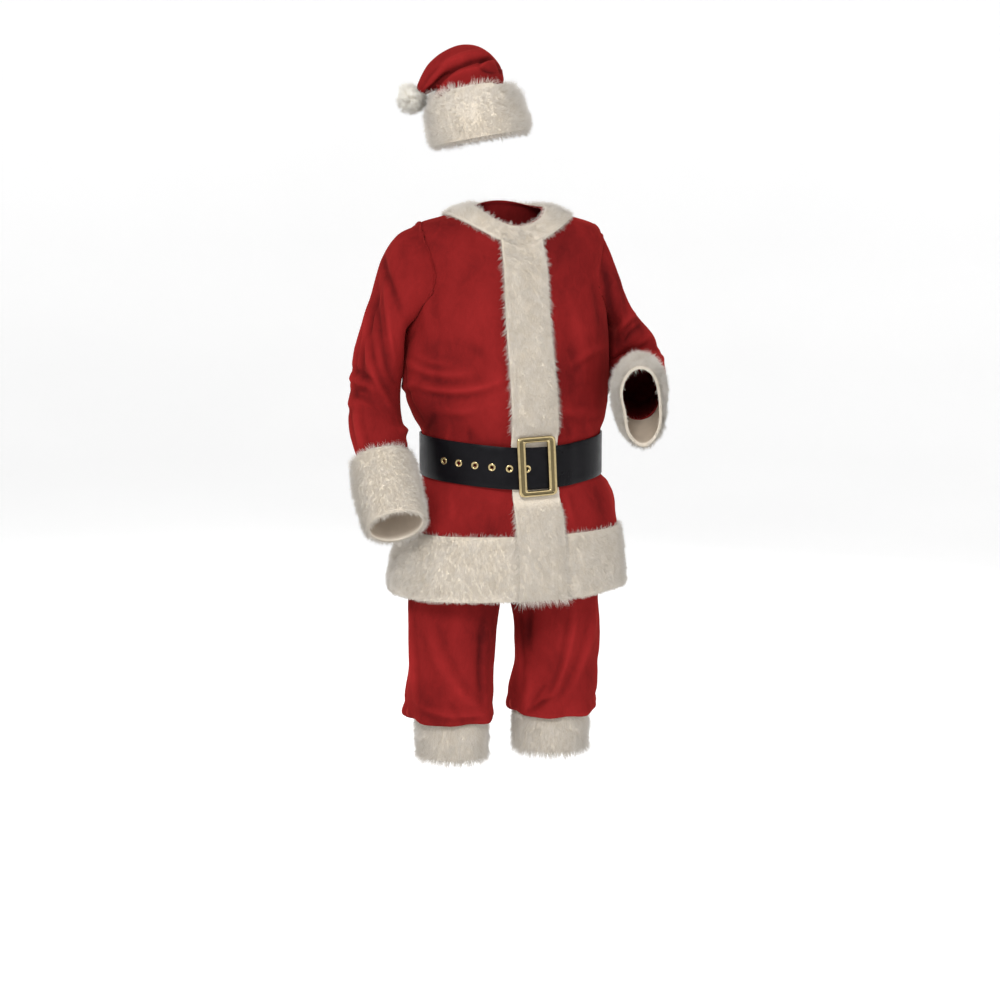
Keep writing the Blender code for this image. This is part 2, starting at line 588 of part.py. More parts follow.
# ---- Sleeves and cuffs ----
def ring_frame(ring, side):
    """A ring's middle and its across-the-arm and front-to-back half axes; side is 1 left, -1 right."""
    drop = math.radians(ring.drop)
    across = Vector((side * math.sin(drop), 0.0, math.cos(drop)))
    forward = Vector((0.0, -1.0, 0.0))
    pitch = Matrix.Rotation(-math.radians(ring.pitch), 3, "X")
    yaw = Matrix.Rotation(-side * math.radians(ring.yaw), 3, "Z")
    turn = yaw @ pitch
    middle = Vector((side * ring.out, ring.fore, ring.z))
    return middle, turn @ across * ring.wide, turn @ forward * ring.deep


def ring_point(ring, side, angle):
    """A point of a ring: 0 is its front, 90 its outside, 180 its back, 270 its inside."""
    middle, across, forward = ring_frame(ring, side)
    turn = math.radians(angle)
    narrowing = 1.0 - ring.pinch * (1.0 - math.cos(turn)) / 2.0
    return middle + across * math.sin(turn) * narrowing + forward * math.cos(turn)


def armhole_point(angle, side):
    """A point of the armhole's edge, at an angle round the sleeve, lifted off the body."""
    around = angle % 360.0
    at_front = around <= 90.0 or around >= 270.0
    share = (angle_apart(around, 0.0) + 90.0) / 180.0 if at_front else (270.0 - around) / 180.0
    level = level_of("underarm", ARMHOLE_SECTIONS * min(max(share, 0.0), 1.0))
    spread = armhole_angle(level)
    body_angle = 90.0 - spread if at_front else 90.0 + spread
    edge = jacket_point(side * body_angle, level)
    return edge + Vector((side * SLEEVE_LIFT, 0.0, 0.0))


def sleeve_surface(rings, side, angle, place):
    """A point of a sleeve's outer face, before its thickness."""
    point = ring_point(between_rows(rings, place), side, angle)
    head = 1.0 - smooth(place, 0.0, 2.0)
    if head > 0.0:
        armhole = armhole_point(angle, side)
        start = ring_point(rings[0], side, angle)
        point = point + (armhole - start) * head
    return point


def sleeve_point(rings, folds, side, angle, place, out=0.0):
    """A point at a distance outside a sleeve's folded face."""
    last = float(len(rings) - 1)
    step = 0.02
    base = sleeve_surface(rings, side, angle, place)
    above = sleeve_surface(rings, side, angle, min(place + step, last))
    below = sleeve_surface(rings, side, angle, max(place - step, 0.0))
    along = sleeve_surface(rings, side, angle + 1.0, place) \
        - sleeve_surface(rings, side, angle - 1.0, place)
    normal = along.cross(above - below).normalized()
    middle = ring_frame(between_rows(rings, place), side)[0]
    if normal.dot(base - middle) < 0.0:
        normal.negate()
    # at the armhole the wall's thickness lies in the armhole's plane, clear of the body
    spoke = Vector((0.0, base.y - middle.y, base.z - middle.z)).normalized()
    normal = spoke.lerp(normal, smooth(place, 0.0, HEAD_TURN)).normalized()
    height = 0.0
    for fold in folds:
        share = (place - fold.start) / (fold.end - fold.start)
        if not 0.0 < share < 1.0:
            continue
        line = fold.angle + fold.drift * share
        height += fold.rise * bump(angle_apart(angle, line), fold.width) * math.sin(math.pi * share)
    return base + normal * (out + height)


def make_sleeve(name, rings, folds, side, material, collection):
    """A sleeve from the armhole to the cuff."""
    rows = (len(rings) - 1) * SLEEVE_ROWS_PER_RING
    places = [row / SLEEVE_ROWS_PER_RING for row in range(rows + 1)]
    angles = [270.0 + 360.0 * column / SLEEVE_COLUMNS for column in range(SLEEVE_COLUMNS)]
    outer = [[sleeve_point(rings, folds, side, angle, place) for angle in angles] for place in places]
    inner = [[sleeve_point(rings, folds, side, angle, place, -CLOTH) for angle in angles]
             for place in places]
    add_object(name, wall(outer, inner, around=True), material, collection)


def make_cuff(name, rings, side, material, collection):
    """A thick plush cuff: its outer face follows the rings and its inner face lies inside them."""
    angles = [360.0 * column / CUFF_COLUMNS for column in range(CUFF_COLUMNS)]
    first, last = rings[0], rings[-1]
    outer = []
    inner = []
    for number, ring in enumerate(rings):
        share = number / (len(rings) - 1)
        lining = ring._replace(wide=first.wide + (last.wide - first.wide) * share - CUFF_PILE,
                               deep=first.deep + (last.deep - first.deep) * share - CUFF_PILE)
        outer.append([ring_point(ring, side, angle) for angle in angles])
        inner.append([ring_point(lining, side, angle) for angle in angles])
    add_object(name, wall(outer, inner, around=True), material, collection)


# ---- The belt ----
def belt_outline(angle, out):
    """A point of the belt's level outline, at a distance outside the velvet."""
    turn = math.radians(angle)
    facing_front = math.cos(turn) > 0.0
    depth = BELT_FRONT if facing_front else BELT_BACK
    middle_z = BELT_FRONT_Z if facing_front else BELT_BACK_Z
    radius = polar_radius(angle, BELT_HALF_WIDTH + out, depth + out)
    z = BELT_SIDE_Z * math.sin(turn) ** 2 + middle_z * math.cos(turn) ** 2
    return Vector((BELT_LEAN + radius * math.sin(turn), -radius * math.cos(turn), z))


def belt_lengths():
    """The length round the belt at each whole degree, from the middle of the front."""
    lengths = [0.0]
    for degree in range(1, 361):
        step = belt_outline(degree, 0.0) - belt_outline(degree - 1, 0.0)
        lengths.append(lengths[-1] + Vector((step.x, step.y)).length)
    return lengths


BELT_LENGTHS = belt_lengths()
BELT_GIRTH = BELT_LENGTHS[-1]


def belt_angle(distance):
    """The angle at a distance round the belt, positive towards the left side."""
    turns, rest = divmod(distance, BELT_GIRTH)
    for degree in range(1, 361):
        if BELT_LENGTHS[degree] >= rest:
            part = (rest - BELT_LENGTHS[degree - 1]) / (BELT_LENGTHS[degree] - BELT_LENGTHS[degree - 1])
            return 360.0 * turns + degree - 1 + part
    return 360.0 * turns


def belt_out(distance):
    """How far the strap's inner face stands off the velvet at a distance round it."""
    angle = angle_apart(belt_angle(distance), 0.0)
    over_band = smooth(angle, *BELT_BAND_RIGHT) * (1.0 - smooth(angle, *BELT_BAND_LEFT))
    leaves, lies_over = BELT_OVERLAP
    overlap = smooth(distance, BELT_GIRTH - leaves, BELT_GIRTH - lies_over)
    layer = BELT_THICKNESS + BELT_LAYER_GAP
    return BELT_CLEARANCE + BELT_OVER_BAND * over_band + layer * overlap


def belt_point(distance, up, out):
    """A point of the strap: distance round it, height above its middle, depth from its inner face."""
    point = belt_outline(belt_angle(distance), belt_out(distance) + out)
    return point + Vector((0.0, 0.0, up))


def eyelet_distance(number):
    """The place of an eyelet along the strap's outer end."""
    return BELT_GIRTH + EYELET_FIRST - EYELET_SPACING * number


def eyelet_seat(number, out):
    """The middle of an eyelet's flat on the strap, and the direction that it faces."""
    middle = eyelet_distance(number)
    left = belt_point(middle - BELT_STEP / 2.0, 0.0, out)
    right = belt_point(middle + BELT_STEP / 2.0, 0.0, out)
    along = (right - left).normalized()
    facing = along.cross(Vector((0.0, 0.0, 1.0))).normalized()
    return (left + right) / 2.0, facing


def make_belt(leather, brass, collection, cutters):
    """The strap with its eyelet holes, and the eyelets."""
    tip = BELT_GIRTH + EYELET_FIRST + BELT_STEP / 2.0 + BELT_STEP * BELT_TIP_FLATS
    flats = int((tip - BELT_START) / BELT_STEP)
    distances = [tip - BELT_STEP * flat for flat in range(flats, -1, -1)]
    heights = [-BELT_HEIGHT / 2.0, BELT_HEIGHT / 2.0]
    outer = [[belt_point(distance, up, BELT_THICKNESS) for distance in distances] for up in heights]
    inner = [[belt_point(distance, up, 0.0) for distance in distances] for up in heights]
    strap = add_object("belt_strap", wall(outer, inner), leather, collection)
    for number in range(EYELETS):
        seat, facing = eyelet_seat(number, BELT_THICKNESS)
        turn = facing.to_track_quat("Z", "Y").to_euler()
        bpy.ops.mesh.primitive_cylinder_add(vertices=10, radius=EYELET_HOLE, depth=EYELET_CUT,
                                            location=seat, rotation=turn)
        cutter = bpy.context.object
        cutter.name = f"eyelet_cutter_{number + 1}"
        cutter.hide_render = True
        cutter.display_type = "WIRE"
        for home in list(cutter.users_collection):
            home.objects.unlink(cutter)
        cutters.objects.link(cutter)
        cut = strap.modifiers.new(f"eyelet hole {number + 1}", "BOOLEAN")
        cut.object = cutter
        cut.solver = "EXACT"
        bpy.ops.mesh.primitive_torus_add(major_radius=EYELET_RING, minor_radius=EYELET_WIRE,
                                         major_segments=12, minor_segments=5,
                                         rotation=turn,
                                         location=seat + facing * (EYELET_WIRE * EYELET_FLATNESS + SEAM))
        eyelet = bpy.context.object
        eyelet.data.transform(Matrix.Diagonal((1.0, 1.0, EYELET_FLATNESS, 1.0)))
        eyelet.name = f"belt_eyelet_{number + 1}"
        eyelet.data.materials.append(brass)
        eyelet.data.shade_smooth()
        for home in list(eyelet.users_collection):
            home.objects.unlink(eyelet)
        collection.objects.link(eyelet)


def make_buckle(brass, collection):
    """The rectangular frame in front of the strap, bent to the belt's curve."""
    layer = 2.0 * BELT_THICKNESS + BELT_LAYER_GAP + BELT_CLEARANCE + BELT_OVER_BAND + BUCKLE_CLEARANCE
    half_u = BUCKLE_HALF_WIDTH
    half_v = BUCKLE_HALF_HEIGHT
    corner = BUCKLE_CORNER
    # the frame's outer outline, one corner after another: signs and how far round the corner
    outline = []
    for sign_u, sign_v, order in ((1, 1, 1), (-1, 1, -1), (-1, -1, 1), (1, -1, -1)):
        arc = []
        for step in range(3):
            turn = math.radians(45.0 * step)
            arc.append((sign_u * (half_u - corner + corner * math.cos(turn)),
                        sign_v * (half_v - corner + corner * math.sin(turn))))
        outline += arc if order > 0 else arc[::-1]
    spread = []
    for index, (u, v) in enumerate(outline):
        next_u, next_v = outline[(index + 1) % len(outline)]
        spread.append((u, v))
        gaps = max(1, round(math.hypot(next_u - u, next_v - v) / BUCKLE_STEP))
        for gap in range(1, gaps):
            spread.append((u + (next_u - u) * gap / gaps, v + (next_v - v) * gap / gaps))
    inner_u = (half_u - BUCKLE_SIDE_MEMBER) / half_u
    inner_v = (half_v - BUCKLE_END_MEMBER) / half_v
    tilt = Matrix.Rotation(math.radians(BUCKLE_TILT), 2)
    sections = []
    for u, v in spread:
        section = []
        for share, height in BUCKLE_PROFILE:
            flat = tilt @ Vector((u * (1.0 + (inner_u - 1.0) * share), v * (1.0 + (inner_v - 1.0) * share)))
            base = belt_outline(belt_angle(BUCKLE_MIDDLE + flat.x), layer + BUCKLE_THICKNESS * height)
            section.append(Vector((base.x, base.y, BELT_FRONT_Z + flat.y)))
        sections.append(section)
    built = bmesh.new()
    rings = [[built.verts.new(point) for point in section] for section in sections]
    for index, ring in enumerate(rings):
        following = rings[(index + 1) % len(rings)]
        for j in range(len(ring)):
            k = (j + 1) % len(ring)
            quad(built, ring[j], ring[k], following[k], following[j])
    add_object("belt_buckle", built, brass, collection)


# ---- The trousers ----
def leg_level_rows():
    """The rows of the legs' walls, from the ankle up."""
    places = []
    for index, section in enumerate(TROUSERS[:-1]):
        places += [index + step / section.steps for step in range(section.steps)]
    places.append(float(len(TROUSERS) - 1))
    return places[::-1]


def leg_fold(folds, angle, z):
    """How far the folds push a leg's face out."""
    height = 0.0
    for fold in folds:
        share = (fold.z_top - z) / (fold.z_top - fold.z_bottom)
        if 0.0 < share < 1.0:
            line = fold.angle + fold.drift * share
            height += fold.rise * bump(angle_apart(angle, line), fold.width) * math.sin(math.pi * share)
    return height


def leg_surface(side, angle, place):
    """A point of one leg's smooth face: 0 is its inner seam's front, 180 the side, 360 its back."""
    section = between_rows(TROUSERS, place)
    turn = math.radians(angle)
    at_front = angle <= 180.0
    hip_angle = angle / 2.0
    depth = section.front if at_front else section.back
    radius = polar_radius(hip_angle, section.half_width, depth)
    hip = Vector((radius * math.sin(math.radians(hip_angle)), -radius * math.cos(math.radians(hip_angle))))
    out = section.left_out if side > 0 else section.right_out
    leg = Vector((out - section.wide * math.cos(turn), section.fore - section.deep * math.sin(turn)))
    split = min(1.0, max(0.0, section.split))
    split = split * split * (3.0 - 2.0 * split)
    flat = hip.lerp(leg, split)
    return Vector((section.lean + side * max(flat.x, SEAM / 2.0), flat.y, section.z))


def leg_point(side, folds, angle, place, out=0.0):
    """A point at a distance outside a leg's folded face."""
    last = float(len(TROUSERS) - 1)
    step = 0.02
    base = leg_surface(side, angle, place)
    above = leg_surface(side, angle, max(place - step, 0.0))
    below = leg_surface(side, angle, min(place + step, last))
    first_angle = max(angle - 1.0, 0.0) if angle <= 180.0 else angle - 1.0
    along = leg_surface(side, min(angle + 1.0, 360.0), place) - leg_surface(side, first_angle, place)
    normal = along.cross(above - below).normalized() * side
    moved = base + normal * (out + leg_fold(folds, angle, base.z))
    lean = between_rows(TROUSERS, place).lean
    moved.x = lean + side * max(side * (moved.x - lean), SEAM / 2.0)
    return moved


def make_legs(material, collection):
    """The four velvet pieces of the trousers."""
    places = leg_level_rows()
    for side, side_name, folds in ((-1, "right", RIGHT_LEG_FOLDS), (1, "left", LEFT_LEG_FOLDS)):
        for piece, start, end in (("front", 0.0, 180.0), ("back", 180.0, 360.0)):
            outer = []
            inner = []
            for place in places:
                section = between_rows(TROUSERS, place)
                gap = math.degrees(SEAM / 2.0 / section.wide) * (1.0 + (1.0 - min(1.0, section.split)))
                span = end - start - 2.0 * gap
                angles = [start + gap + span * column / LEG_COLUMNS for column in range(LEG_COLUMNS + 1)]
                outer.append([leg_point(side, folds, angle, place) for angle in angles])
                inner.append([leg_point(side, folds, angle, place, -CLOTH) for angle in angles])
            add_object(f"trouser_{piece}_{side_name}", wall(outer, inner), material, collection)


def make_waistband(material, collection):
    """The plain band round the trousers' waist."""
    waist = TROUSERS[0]
    outer = []
    inner = []
    for z in (waist.z + SEAM, (waist.z + WAISTBAND_TOP) / 2.0, WAISTBAND_TOP):
        rows = ([], [])
        for column in range(WAISTBAND_COLUMNS):
            angle = 360.0 * column / WAISTBAND_COLUMNS
            turn = math.radians(angle)
            depth = waist.front if math.cos(turn) > 0.0 else waist.back
            for row, shrink in zip(rows, (0.0, WAISTBAND_WALL)):
                radius = polar_radius(angle, waist.half_width - shrink, depth - shrink)
                row.append(Vector((waist.lean + radius * math.sin(turn), -radius * math.cos(turn), z)))
        outer.append(rows[0])
        inner.append(rows[1])
    add_object("waistband", wall(outer, inner, around=True), material, collection)


def make_leg_cuffs(material, collection):
    """The plush cuff at the bottom of each leg."""
    ankle = TROUSERS[-1]
    for side, side_name, out in ((-1, "right", ankle.right_out), (1, "left", ankle.left_out)):
        rows = []
        for grow_for in (1.0, 0.0):
            grid = []
            for cuff_row in LEG_CUFF_ROWS:
                extra = cuff_row.grow if grow_for else LEG_CUFF_ROWS[0].grow - LEG_CUFF_PILE
                grid.append([Vector((side * out + (ankle.wide + extra) * math.cos(turn),
                                     ankle.fore + (ankle.deep + extra) * math.sin(turn), cuff_row.z))
                             for turn in (math.tau * column / CUFF_COLUMNS
                                          for column in range(CUFF_COLUMNS))])
            rows.append(grid)
        add_object(f"trouser_cuff_{side_name}", wall(rows[0], rows[1], around=True), material, collection)


# ---- The cap ----
def cap_place(across, forward, z):
    """A point of the head's frame in the suit's frame."""
    turn = math.radians(CAP_TURN)
    x = across * math.cos(turn) - forward * math.sin(turn)
    y = across * math.sin(turn) + forward * math.cos(turn)
    return Vector((CAP_X + x, y, z))


def cap_point(ring, angle, out=0.0):
    """A point of a cap ring: 0 is the front, 90 the wearer's left."""
    turn = math.radians(angle)
    tilt = math.radians(ring.tilt)
    reach = (ring.wide + out) * math.sin(turn)
    return cap_place(ring.across + reach * math.cos(tilt), -(ring.deep + out) * math.cos(turn),
                     ring.z + reach * math.sin(tilt))


def make_crown(material, collection):
    """The velvet crown, which flops over to the right and narrows to its tip."""
    rows = (len(CROWN) - 1) * CROWN_ROWS_PER_RING
    angles = [360.0 * column / CROWN_COLUMNS for column in range(CROWN_COLUMNS)]
    outer = []
    inner = []
    for row in range(rows + 1):
        place = row / CROWN_ROWS_PER_RING
        ring = between_rows(CROWN, place)
        outer_row = []
        inner_row = []
        start, end = CROWN_CREASE_RINGS
        share = min(1.0, max(0.0, (place - start) / (end - start)))
        for angle in angles:
            crease = CROWN_CREASE_DEPTH * math.sin(math.pi * share) \
                * bump(angle_apart(angle, CROWN_CREASE_ANGLE), CROWN_CREASE_WIDTH)
            outer_row.append(cap_point(ring, angle, -crease))
            inner_row.append(cap_point(ring, angle, -crease - CLOTH))
        outer.append(outer_row)
        inner.append(inner_row)
    add_object("hat_crown", wall(outer, inner, around=True), material, collection)


def make_brim(material, collection):
    """The cap's deep plush brim."""
    angles = [360.0 * column / BRIM_COLUMNS for column in range(BRIM_COLUMNS)]
    middle = BRIM[len(BRIM) // 2]
    outer = [[cap_point(ring, angle) for angle in angles] for ring in BRIM]
    inner = [[cap_point(ring._replace(wide=middle.wide, deep=middle.deep), angle, -CAP_BRIM_PILE)
              for angle in angles] for ring in BRIM]
    add_object("hat_brim", wall(outer, inner, around=True), material, collection)


def make_pompom(material, collection):
    """The plush ball at the cap's tip."""
    bpy.ops.mesh.primitive_uv_sphere_add(segments=14, ring_count=8, radius=POMPOM_RADIUS,
                                         location=cap_place(POMPOM_ACROSS, 0.0, POMPOM_Z))
    pompom = bpy.context.object
    pompom.name = "hat_pompom"
    pompom.data.materials.append(material)
    pompom.data.shade_smooth()
    for home in list(pompom.users_collection):
        home.objects.unlink(pompom)
    collection.objects.link(pompom)


def main():
    """Clear the scene and make the suit."""
    for thing in list(bpy.data.objects):
        bpy.data.objects.remove(thing)
    collection = bpy.data.collections.new(SUIT)
    cutters = bpy.data.collections.new("cutters")
    bpy.context.scene.collection.children.link(collection)
    bpy.context.scene.collection.children.link(cutters)
    velvet = new_material("crushed velvet", VELVET_RED, 0.65, sheen=0.6)
    plush = new_material("plush", PLUSH_CREAM, 0.95, sheen=0.4)
    leather = new_material("belt vinyl", BELT_BLACK, 0.35)
    brass = new_material("pale brass", PALE_BRASS, 0.25, metallic=1.0)

    make_body(velvet, collection)
    make_sleeve("sleeve_right", RIGHT_SLEEVE, RIGHT_SLEEVE_FOLDS, -1, velvet, collection)
    make_sleeve("sleeve_left", LEFT_SLEEVE, LEFT_SLEEVE_FOLDS, 1, velvet, collection)
    make_cuff("sleeve_cuff_right", RIGHT_CUFF, -1, plush, collection)
    make_cuff("sleeve_cuff_left", LEFT_CUFF, 1, plush, collection)
    make_front_band(plush, collection)
    make_hem_band(plush, collection)
    make_collar(plush, collection)
    make_belt(leather, brass, collection, cutters)
    make_buckle(brass, collection)
    make_legs(velvet, collection)
    make_waistband(velvet, collection)
    make_leg_cuffs(plush, collection)
    make_crown(velvet, collection)
    make_brim(plush, collection)
    make_pompom(plush, collection)


main()
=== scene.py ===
"""Dresses the suit's solids in crushed velvet, plush, satin vinyl and pale brass.

Metres, +Z up. The wearer would face -Y, and the suit's right side is at -X. A fold is placed in
the view that shows it: "turn" is the azimuth of that view in degrees, "across" is the distance to
the right in it and "up" is the height, from the middle of the base of the neck.
"""
import math
from collections import namedtuple

import bmesh
import bpy
import numpy as np
from bpy.props import FloatProperty, FloatVectorProperty, IntProperty, PointerProperty
from mathutils import Matrix, Vector, noise
from mathutils.bvhtree import BVHTree


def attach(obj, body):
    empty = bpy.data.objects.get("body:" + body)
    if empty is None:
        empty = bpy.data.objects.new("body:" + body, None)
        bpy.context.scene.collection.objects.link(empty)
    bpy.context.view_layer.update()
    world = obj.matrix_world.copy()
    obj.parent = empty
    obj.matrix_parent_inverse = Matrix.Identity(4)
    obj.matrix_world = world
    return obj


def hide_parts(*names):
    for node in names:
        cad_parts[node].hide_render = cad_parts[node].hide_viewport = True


bl_info = {
    "name": "Belted Velvet Suit",
    "version": (1, 0, 0),
    "blender": (4, 5, 0),
    "location": "View3D > Sidebar > Suit",
    "description": "Velvet, plush, strap and buckle of a belted suit with its cap",
    "category": "Add Mesh",
}

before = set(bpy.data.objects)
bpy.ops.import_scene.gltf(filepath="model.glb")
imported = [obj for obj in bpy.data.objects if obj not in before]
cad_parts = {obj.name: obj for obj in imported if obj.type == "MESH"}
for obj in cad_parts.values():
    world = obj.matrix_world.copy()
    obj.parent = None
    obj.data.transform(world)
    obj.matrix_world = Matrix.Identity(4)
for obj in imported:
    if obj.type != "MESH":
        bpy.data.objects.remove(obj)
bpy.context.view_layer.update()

# ---- Velvet folds ----
# the azimuth of each view that shows folds
FRONT = -18
LEFT = 90
BACK = 180
RIGHT = -90
CAP_LEFT = 72
CAP_BACK = 162
# rise is the height of the ridge, or the depth of a trough if below 0; bow bends the line to its
# right; beside is 1 for a shadow trough on the line's left, -1 on its right, 0 for none
Fold = namedtuple("Fold", "name turn across0 up0 across1 up1 bow width rise beside")

FRONT_FOLDS = [
    Fold("belly pleat", FRONT, -0.190, -0.368, 0.000, -0.352, 0.018, 0.010, 0.0060, -1),
    Fold("upper belly pleat", FRONT, -0.215, -0.318, -0.060, -0.338, 0.016, 0.012, 0.0045, -1),
    Fold("short chest pleat", FRONT, -0.190, -0.305, -0.110, -0.322, 0.006, 0.009, 0.0030, -1),
    Fold("low belly pleat", FRONT, -0.150, -0.418, -0.040, -0.408, 0.008, 0.012, 0.0028, -1),
    Fold("underarm fold", FRONT, -0.188, -0.255, -0.216, -0.335, 0.006, 0.009, -0.0050, 0),
    Fold("belt gather one", FRONT, -0.148, -0.425, -0.172, -0.488, 0.002, 0.007, -0.0035, 0),
    Fold("belt gather two", FRONT, -0.116, -0.448, -0.128, -0.492, 0.001, 0.007, 0.0030, 0),
    Fold("belt gather three", FRONT, -0.074, -0.455, -0.078, -0.492, 0.001, 0.006, -0.0025, 0),
    Fold("right chest drape", FRONT, -0.165, -0.150, -0.150, -0.270, 0.012, 0.016, 0.0035, 1),
    Fold("skirt fold one", FRONT, -0.155, -0.590, -0.142, -0.660, 0.003, 0.009, -0.0040, 0),
    Fold("skirt fold two", FRONT, -0.118, -0.588, -0.112, -0.650, 0.002, 0.010, 0.0030, 0),
    Fold("skirt fold three", FRONT, -0.190, -0.600, -0.205, -0.670, 0.002, 0.010, 0.0035, 0),
    Fold("left chest drape", FRONT, 0.175, -0.150, 0.196, -0.300, -0.010, 0.012, -0.0040, 0),
    Fold("left long drape", FRONT, 0.130, -0.190, 0.160, -0.400, -0.014, 0.020, 0.0040, -1),
    Fold("left belly pleat", FRONT, 0.075, -0.402, 0.205, -0.428, 0.012, 0.014, 0.0035, -1),
    Fold("left underarm pleat", FRONT, 0.205, -0.300, 0.130, -0.335, 0.008, 0.011, 0.0035, 1),
    Fold("left belt gather", FRONT, 0.125, -0.440, 0.136, -0.488, 0.002, 0.008, -0.0035, 0),
    Fold("left belt pleat", FRONT, 0.168, -0.436, 0.182, -0.486, 0.002, 0.008, 0.0030, 0),
    Fold("left skirt fold", FRONT, 0.120, -0.590, 0.134, -0.665, 0.003, 0.010, 0.0035, 1),
    Fold("left skirt dip", FRONT, 0.178, -0.590, 0.200, -0.670, 0.002, 0.010, -0.0035, 0),
]
SIDE_FOLDS = [
    Fold("right side pleat", RIGHT, -0.055, -0.375, 0.060, -0.362, 0.012, 0.011, 0.0045, -1),
    Fold("right side drape", RIGHT, 0.020, -0.290, 0.052, -0.455, 0.012, 0.012, -0.0040, 0),
    Fold("right side skirt", RIGHT, 0.030, -0.600, 0.045, -0.675, 0.003, 0.011, -0.0040, 0),
    Fold("left side pleat", LEFT, -0.060, -0.392, 0.060, -0.372, 0.010, 0.011, 0.0045, -1),
    Fold("left side drape", LEFT, -0.030, -0.280, -0.052, -0.450, 0.010, 0.012, -0.0040, 0),
    Fold("left side skirt", LEFT, -0.030, -0.600, -0.045, -0.675, 0.003, 0.011, 0.0040, 0),
]
BACK_FOLDS = [
    Fold("waist drag", BACK, -0.120, -0.420, 0.090, -0.398, 0.016, 0.012, 0.0050, -1),
    Fold("small of the back", BACK, -0.070, -0.370, 0.140, -0.352, 0.014, 0.012, 0.0040, -1),
    Fold("shoulder blade right", BACK, 0.060, -0.120, 0.135, -0.300, 0.016, 0.014, 0.0045, 1),
    Fold("shoulder blade left", BACK, -0.070, -0.130, -0.150, -0.310, -0.016, 0.014, 0.0045, -1),
    Fold("back middle drape", BACK, 0.005, -0.200, -0.012, -0.400, 0.008, 0.014, -0.0040, 0),
    Fold("back gather one", BACK, -0.130, -0.430, -0.120, -0.486, 0.002, 0.008, -0.0035, 0),
    Fold("back gather two", BACK, -0.050, -0.436, -0.055, -0.486, 0.002, 0.008, 0.0032, 0),
    Fold("back gather three", BACK, 0.040, -0.432, 0.034, -0.486, 0.002, 0.007, -0.0030, 0),
    Fold("back gather four", BACK, 0.128, -0.430, 0.120, -0.486, 0.002, 0.009, 0.0035, 0),
    Fold("back skirt one", BACK, -0.095, -0.590, -0.110, -0.672, 0.003, 0.012, 0.0040, 1),
    Fold("back skirt two", BACK, 0.015, -0.592, 0.008, -0.672, 0.003, 0.011, -0.0038, 0),
    Fold("back skirt three", BACK, 0.108, -0.590, 0.126, -0.672, 0.003, 0.012, 0.0040, -1),
]
RIGHT_SLEEVE_FOLDS = [
    Fold("long outer ridge", FRONT, -0.286, -0.170, -0.236, -0.425, 0.030, 0.009, 0.0060, 1),
    Fold("long inner ridge", FRONT, -0.246, -0.165, -0.232, -0.325, 0.004, 0.008, 0.0050, -1),
    Fold("shoulder drag", FRONT, -0.262, -0.090, -0.208, -0.235, 0.004, 0.010, -0.0060, 0),
    Fold("middle trough", FRONT, -0.264, -0.135, -0.228, -0.380, 0.018, 0.008, -0.0050, 0),
    Fold("elbow crease", FRONT, -0.345, -0.338, -0.276, -0.364, -0.006, 0.008, -0.0060, 0),
    Fold("elbow roll", FRONT, -0.342, -0.358, -0.270, -0.388, -0.006, 0.010, 0.0050, -1),
    Fold("lower elbow crease", FRONT, -0.334, -0.392, -0.268, -0.412, -0.004, 0.008, -0.0045, 0),
    Fold("forearm ridge", FRONT, -0.316, -0.410, -0.286, -0.520, 0.006, 0.009, 0.0050, 1),
    Fold("inner elbow bulge", LEFT, -0.070, -0.462, 0.040, -0.470, 0.004, 0.012, 0.0090, 0),
    Fold("inner cuff dip", LEFT, -0.080, -0.500, 0.030, -0.505, 0.004, 0.008, -0.0050, 0),
    Fold("outer long trough", RIGHT, 0.020, -0.180, 0.028, -0.380, 0.012, 0.010, -0.0050, 0),
    Fold("outer long ridge", RIGHT, -0.018, -0.200, -0.004, -0.400, 0.010, 0.010, 0.0050, 1),
    Fold("outer elbow crease", RIGHT, -0.050, -0.385, 0.040, -0.372, 0.008, 0.009, -0.0035, 0),
    Fold("outer elbow roll", RIGHT, -0.056, -0.408, 0.034, -0.402, 0.008, 0.012, 0.0030, -1),
    Fold("outer forearm", RIGHT, -0.020, -0.420, 0.050, -0.520, 0.008, 0.010, 0.0045, 1),
    Fold("back long ridge", BACK, 0.255, -0.170, 0.290, -0.360, 0.012, 0.010, 0.0055, 1),
    Fold("back elbow drag", BACK, 0.250, -0.380, 0.330, -0.360, 0.008, 0.010, -0.0045, 0),
    Fold("back forearm", BACK, 0.270, -0.420, 0.300, -0.520, 0.006, 0.010, -0.0045, 0),
]
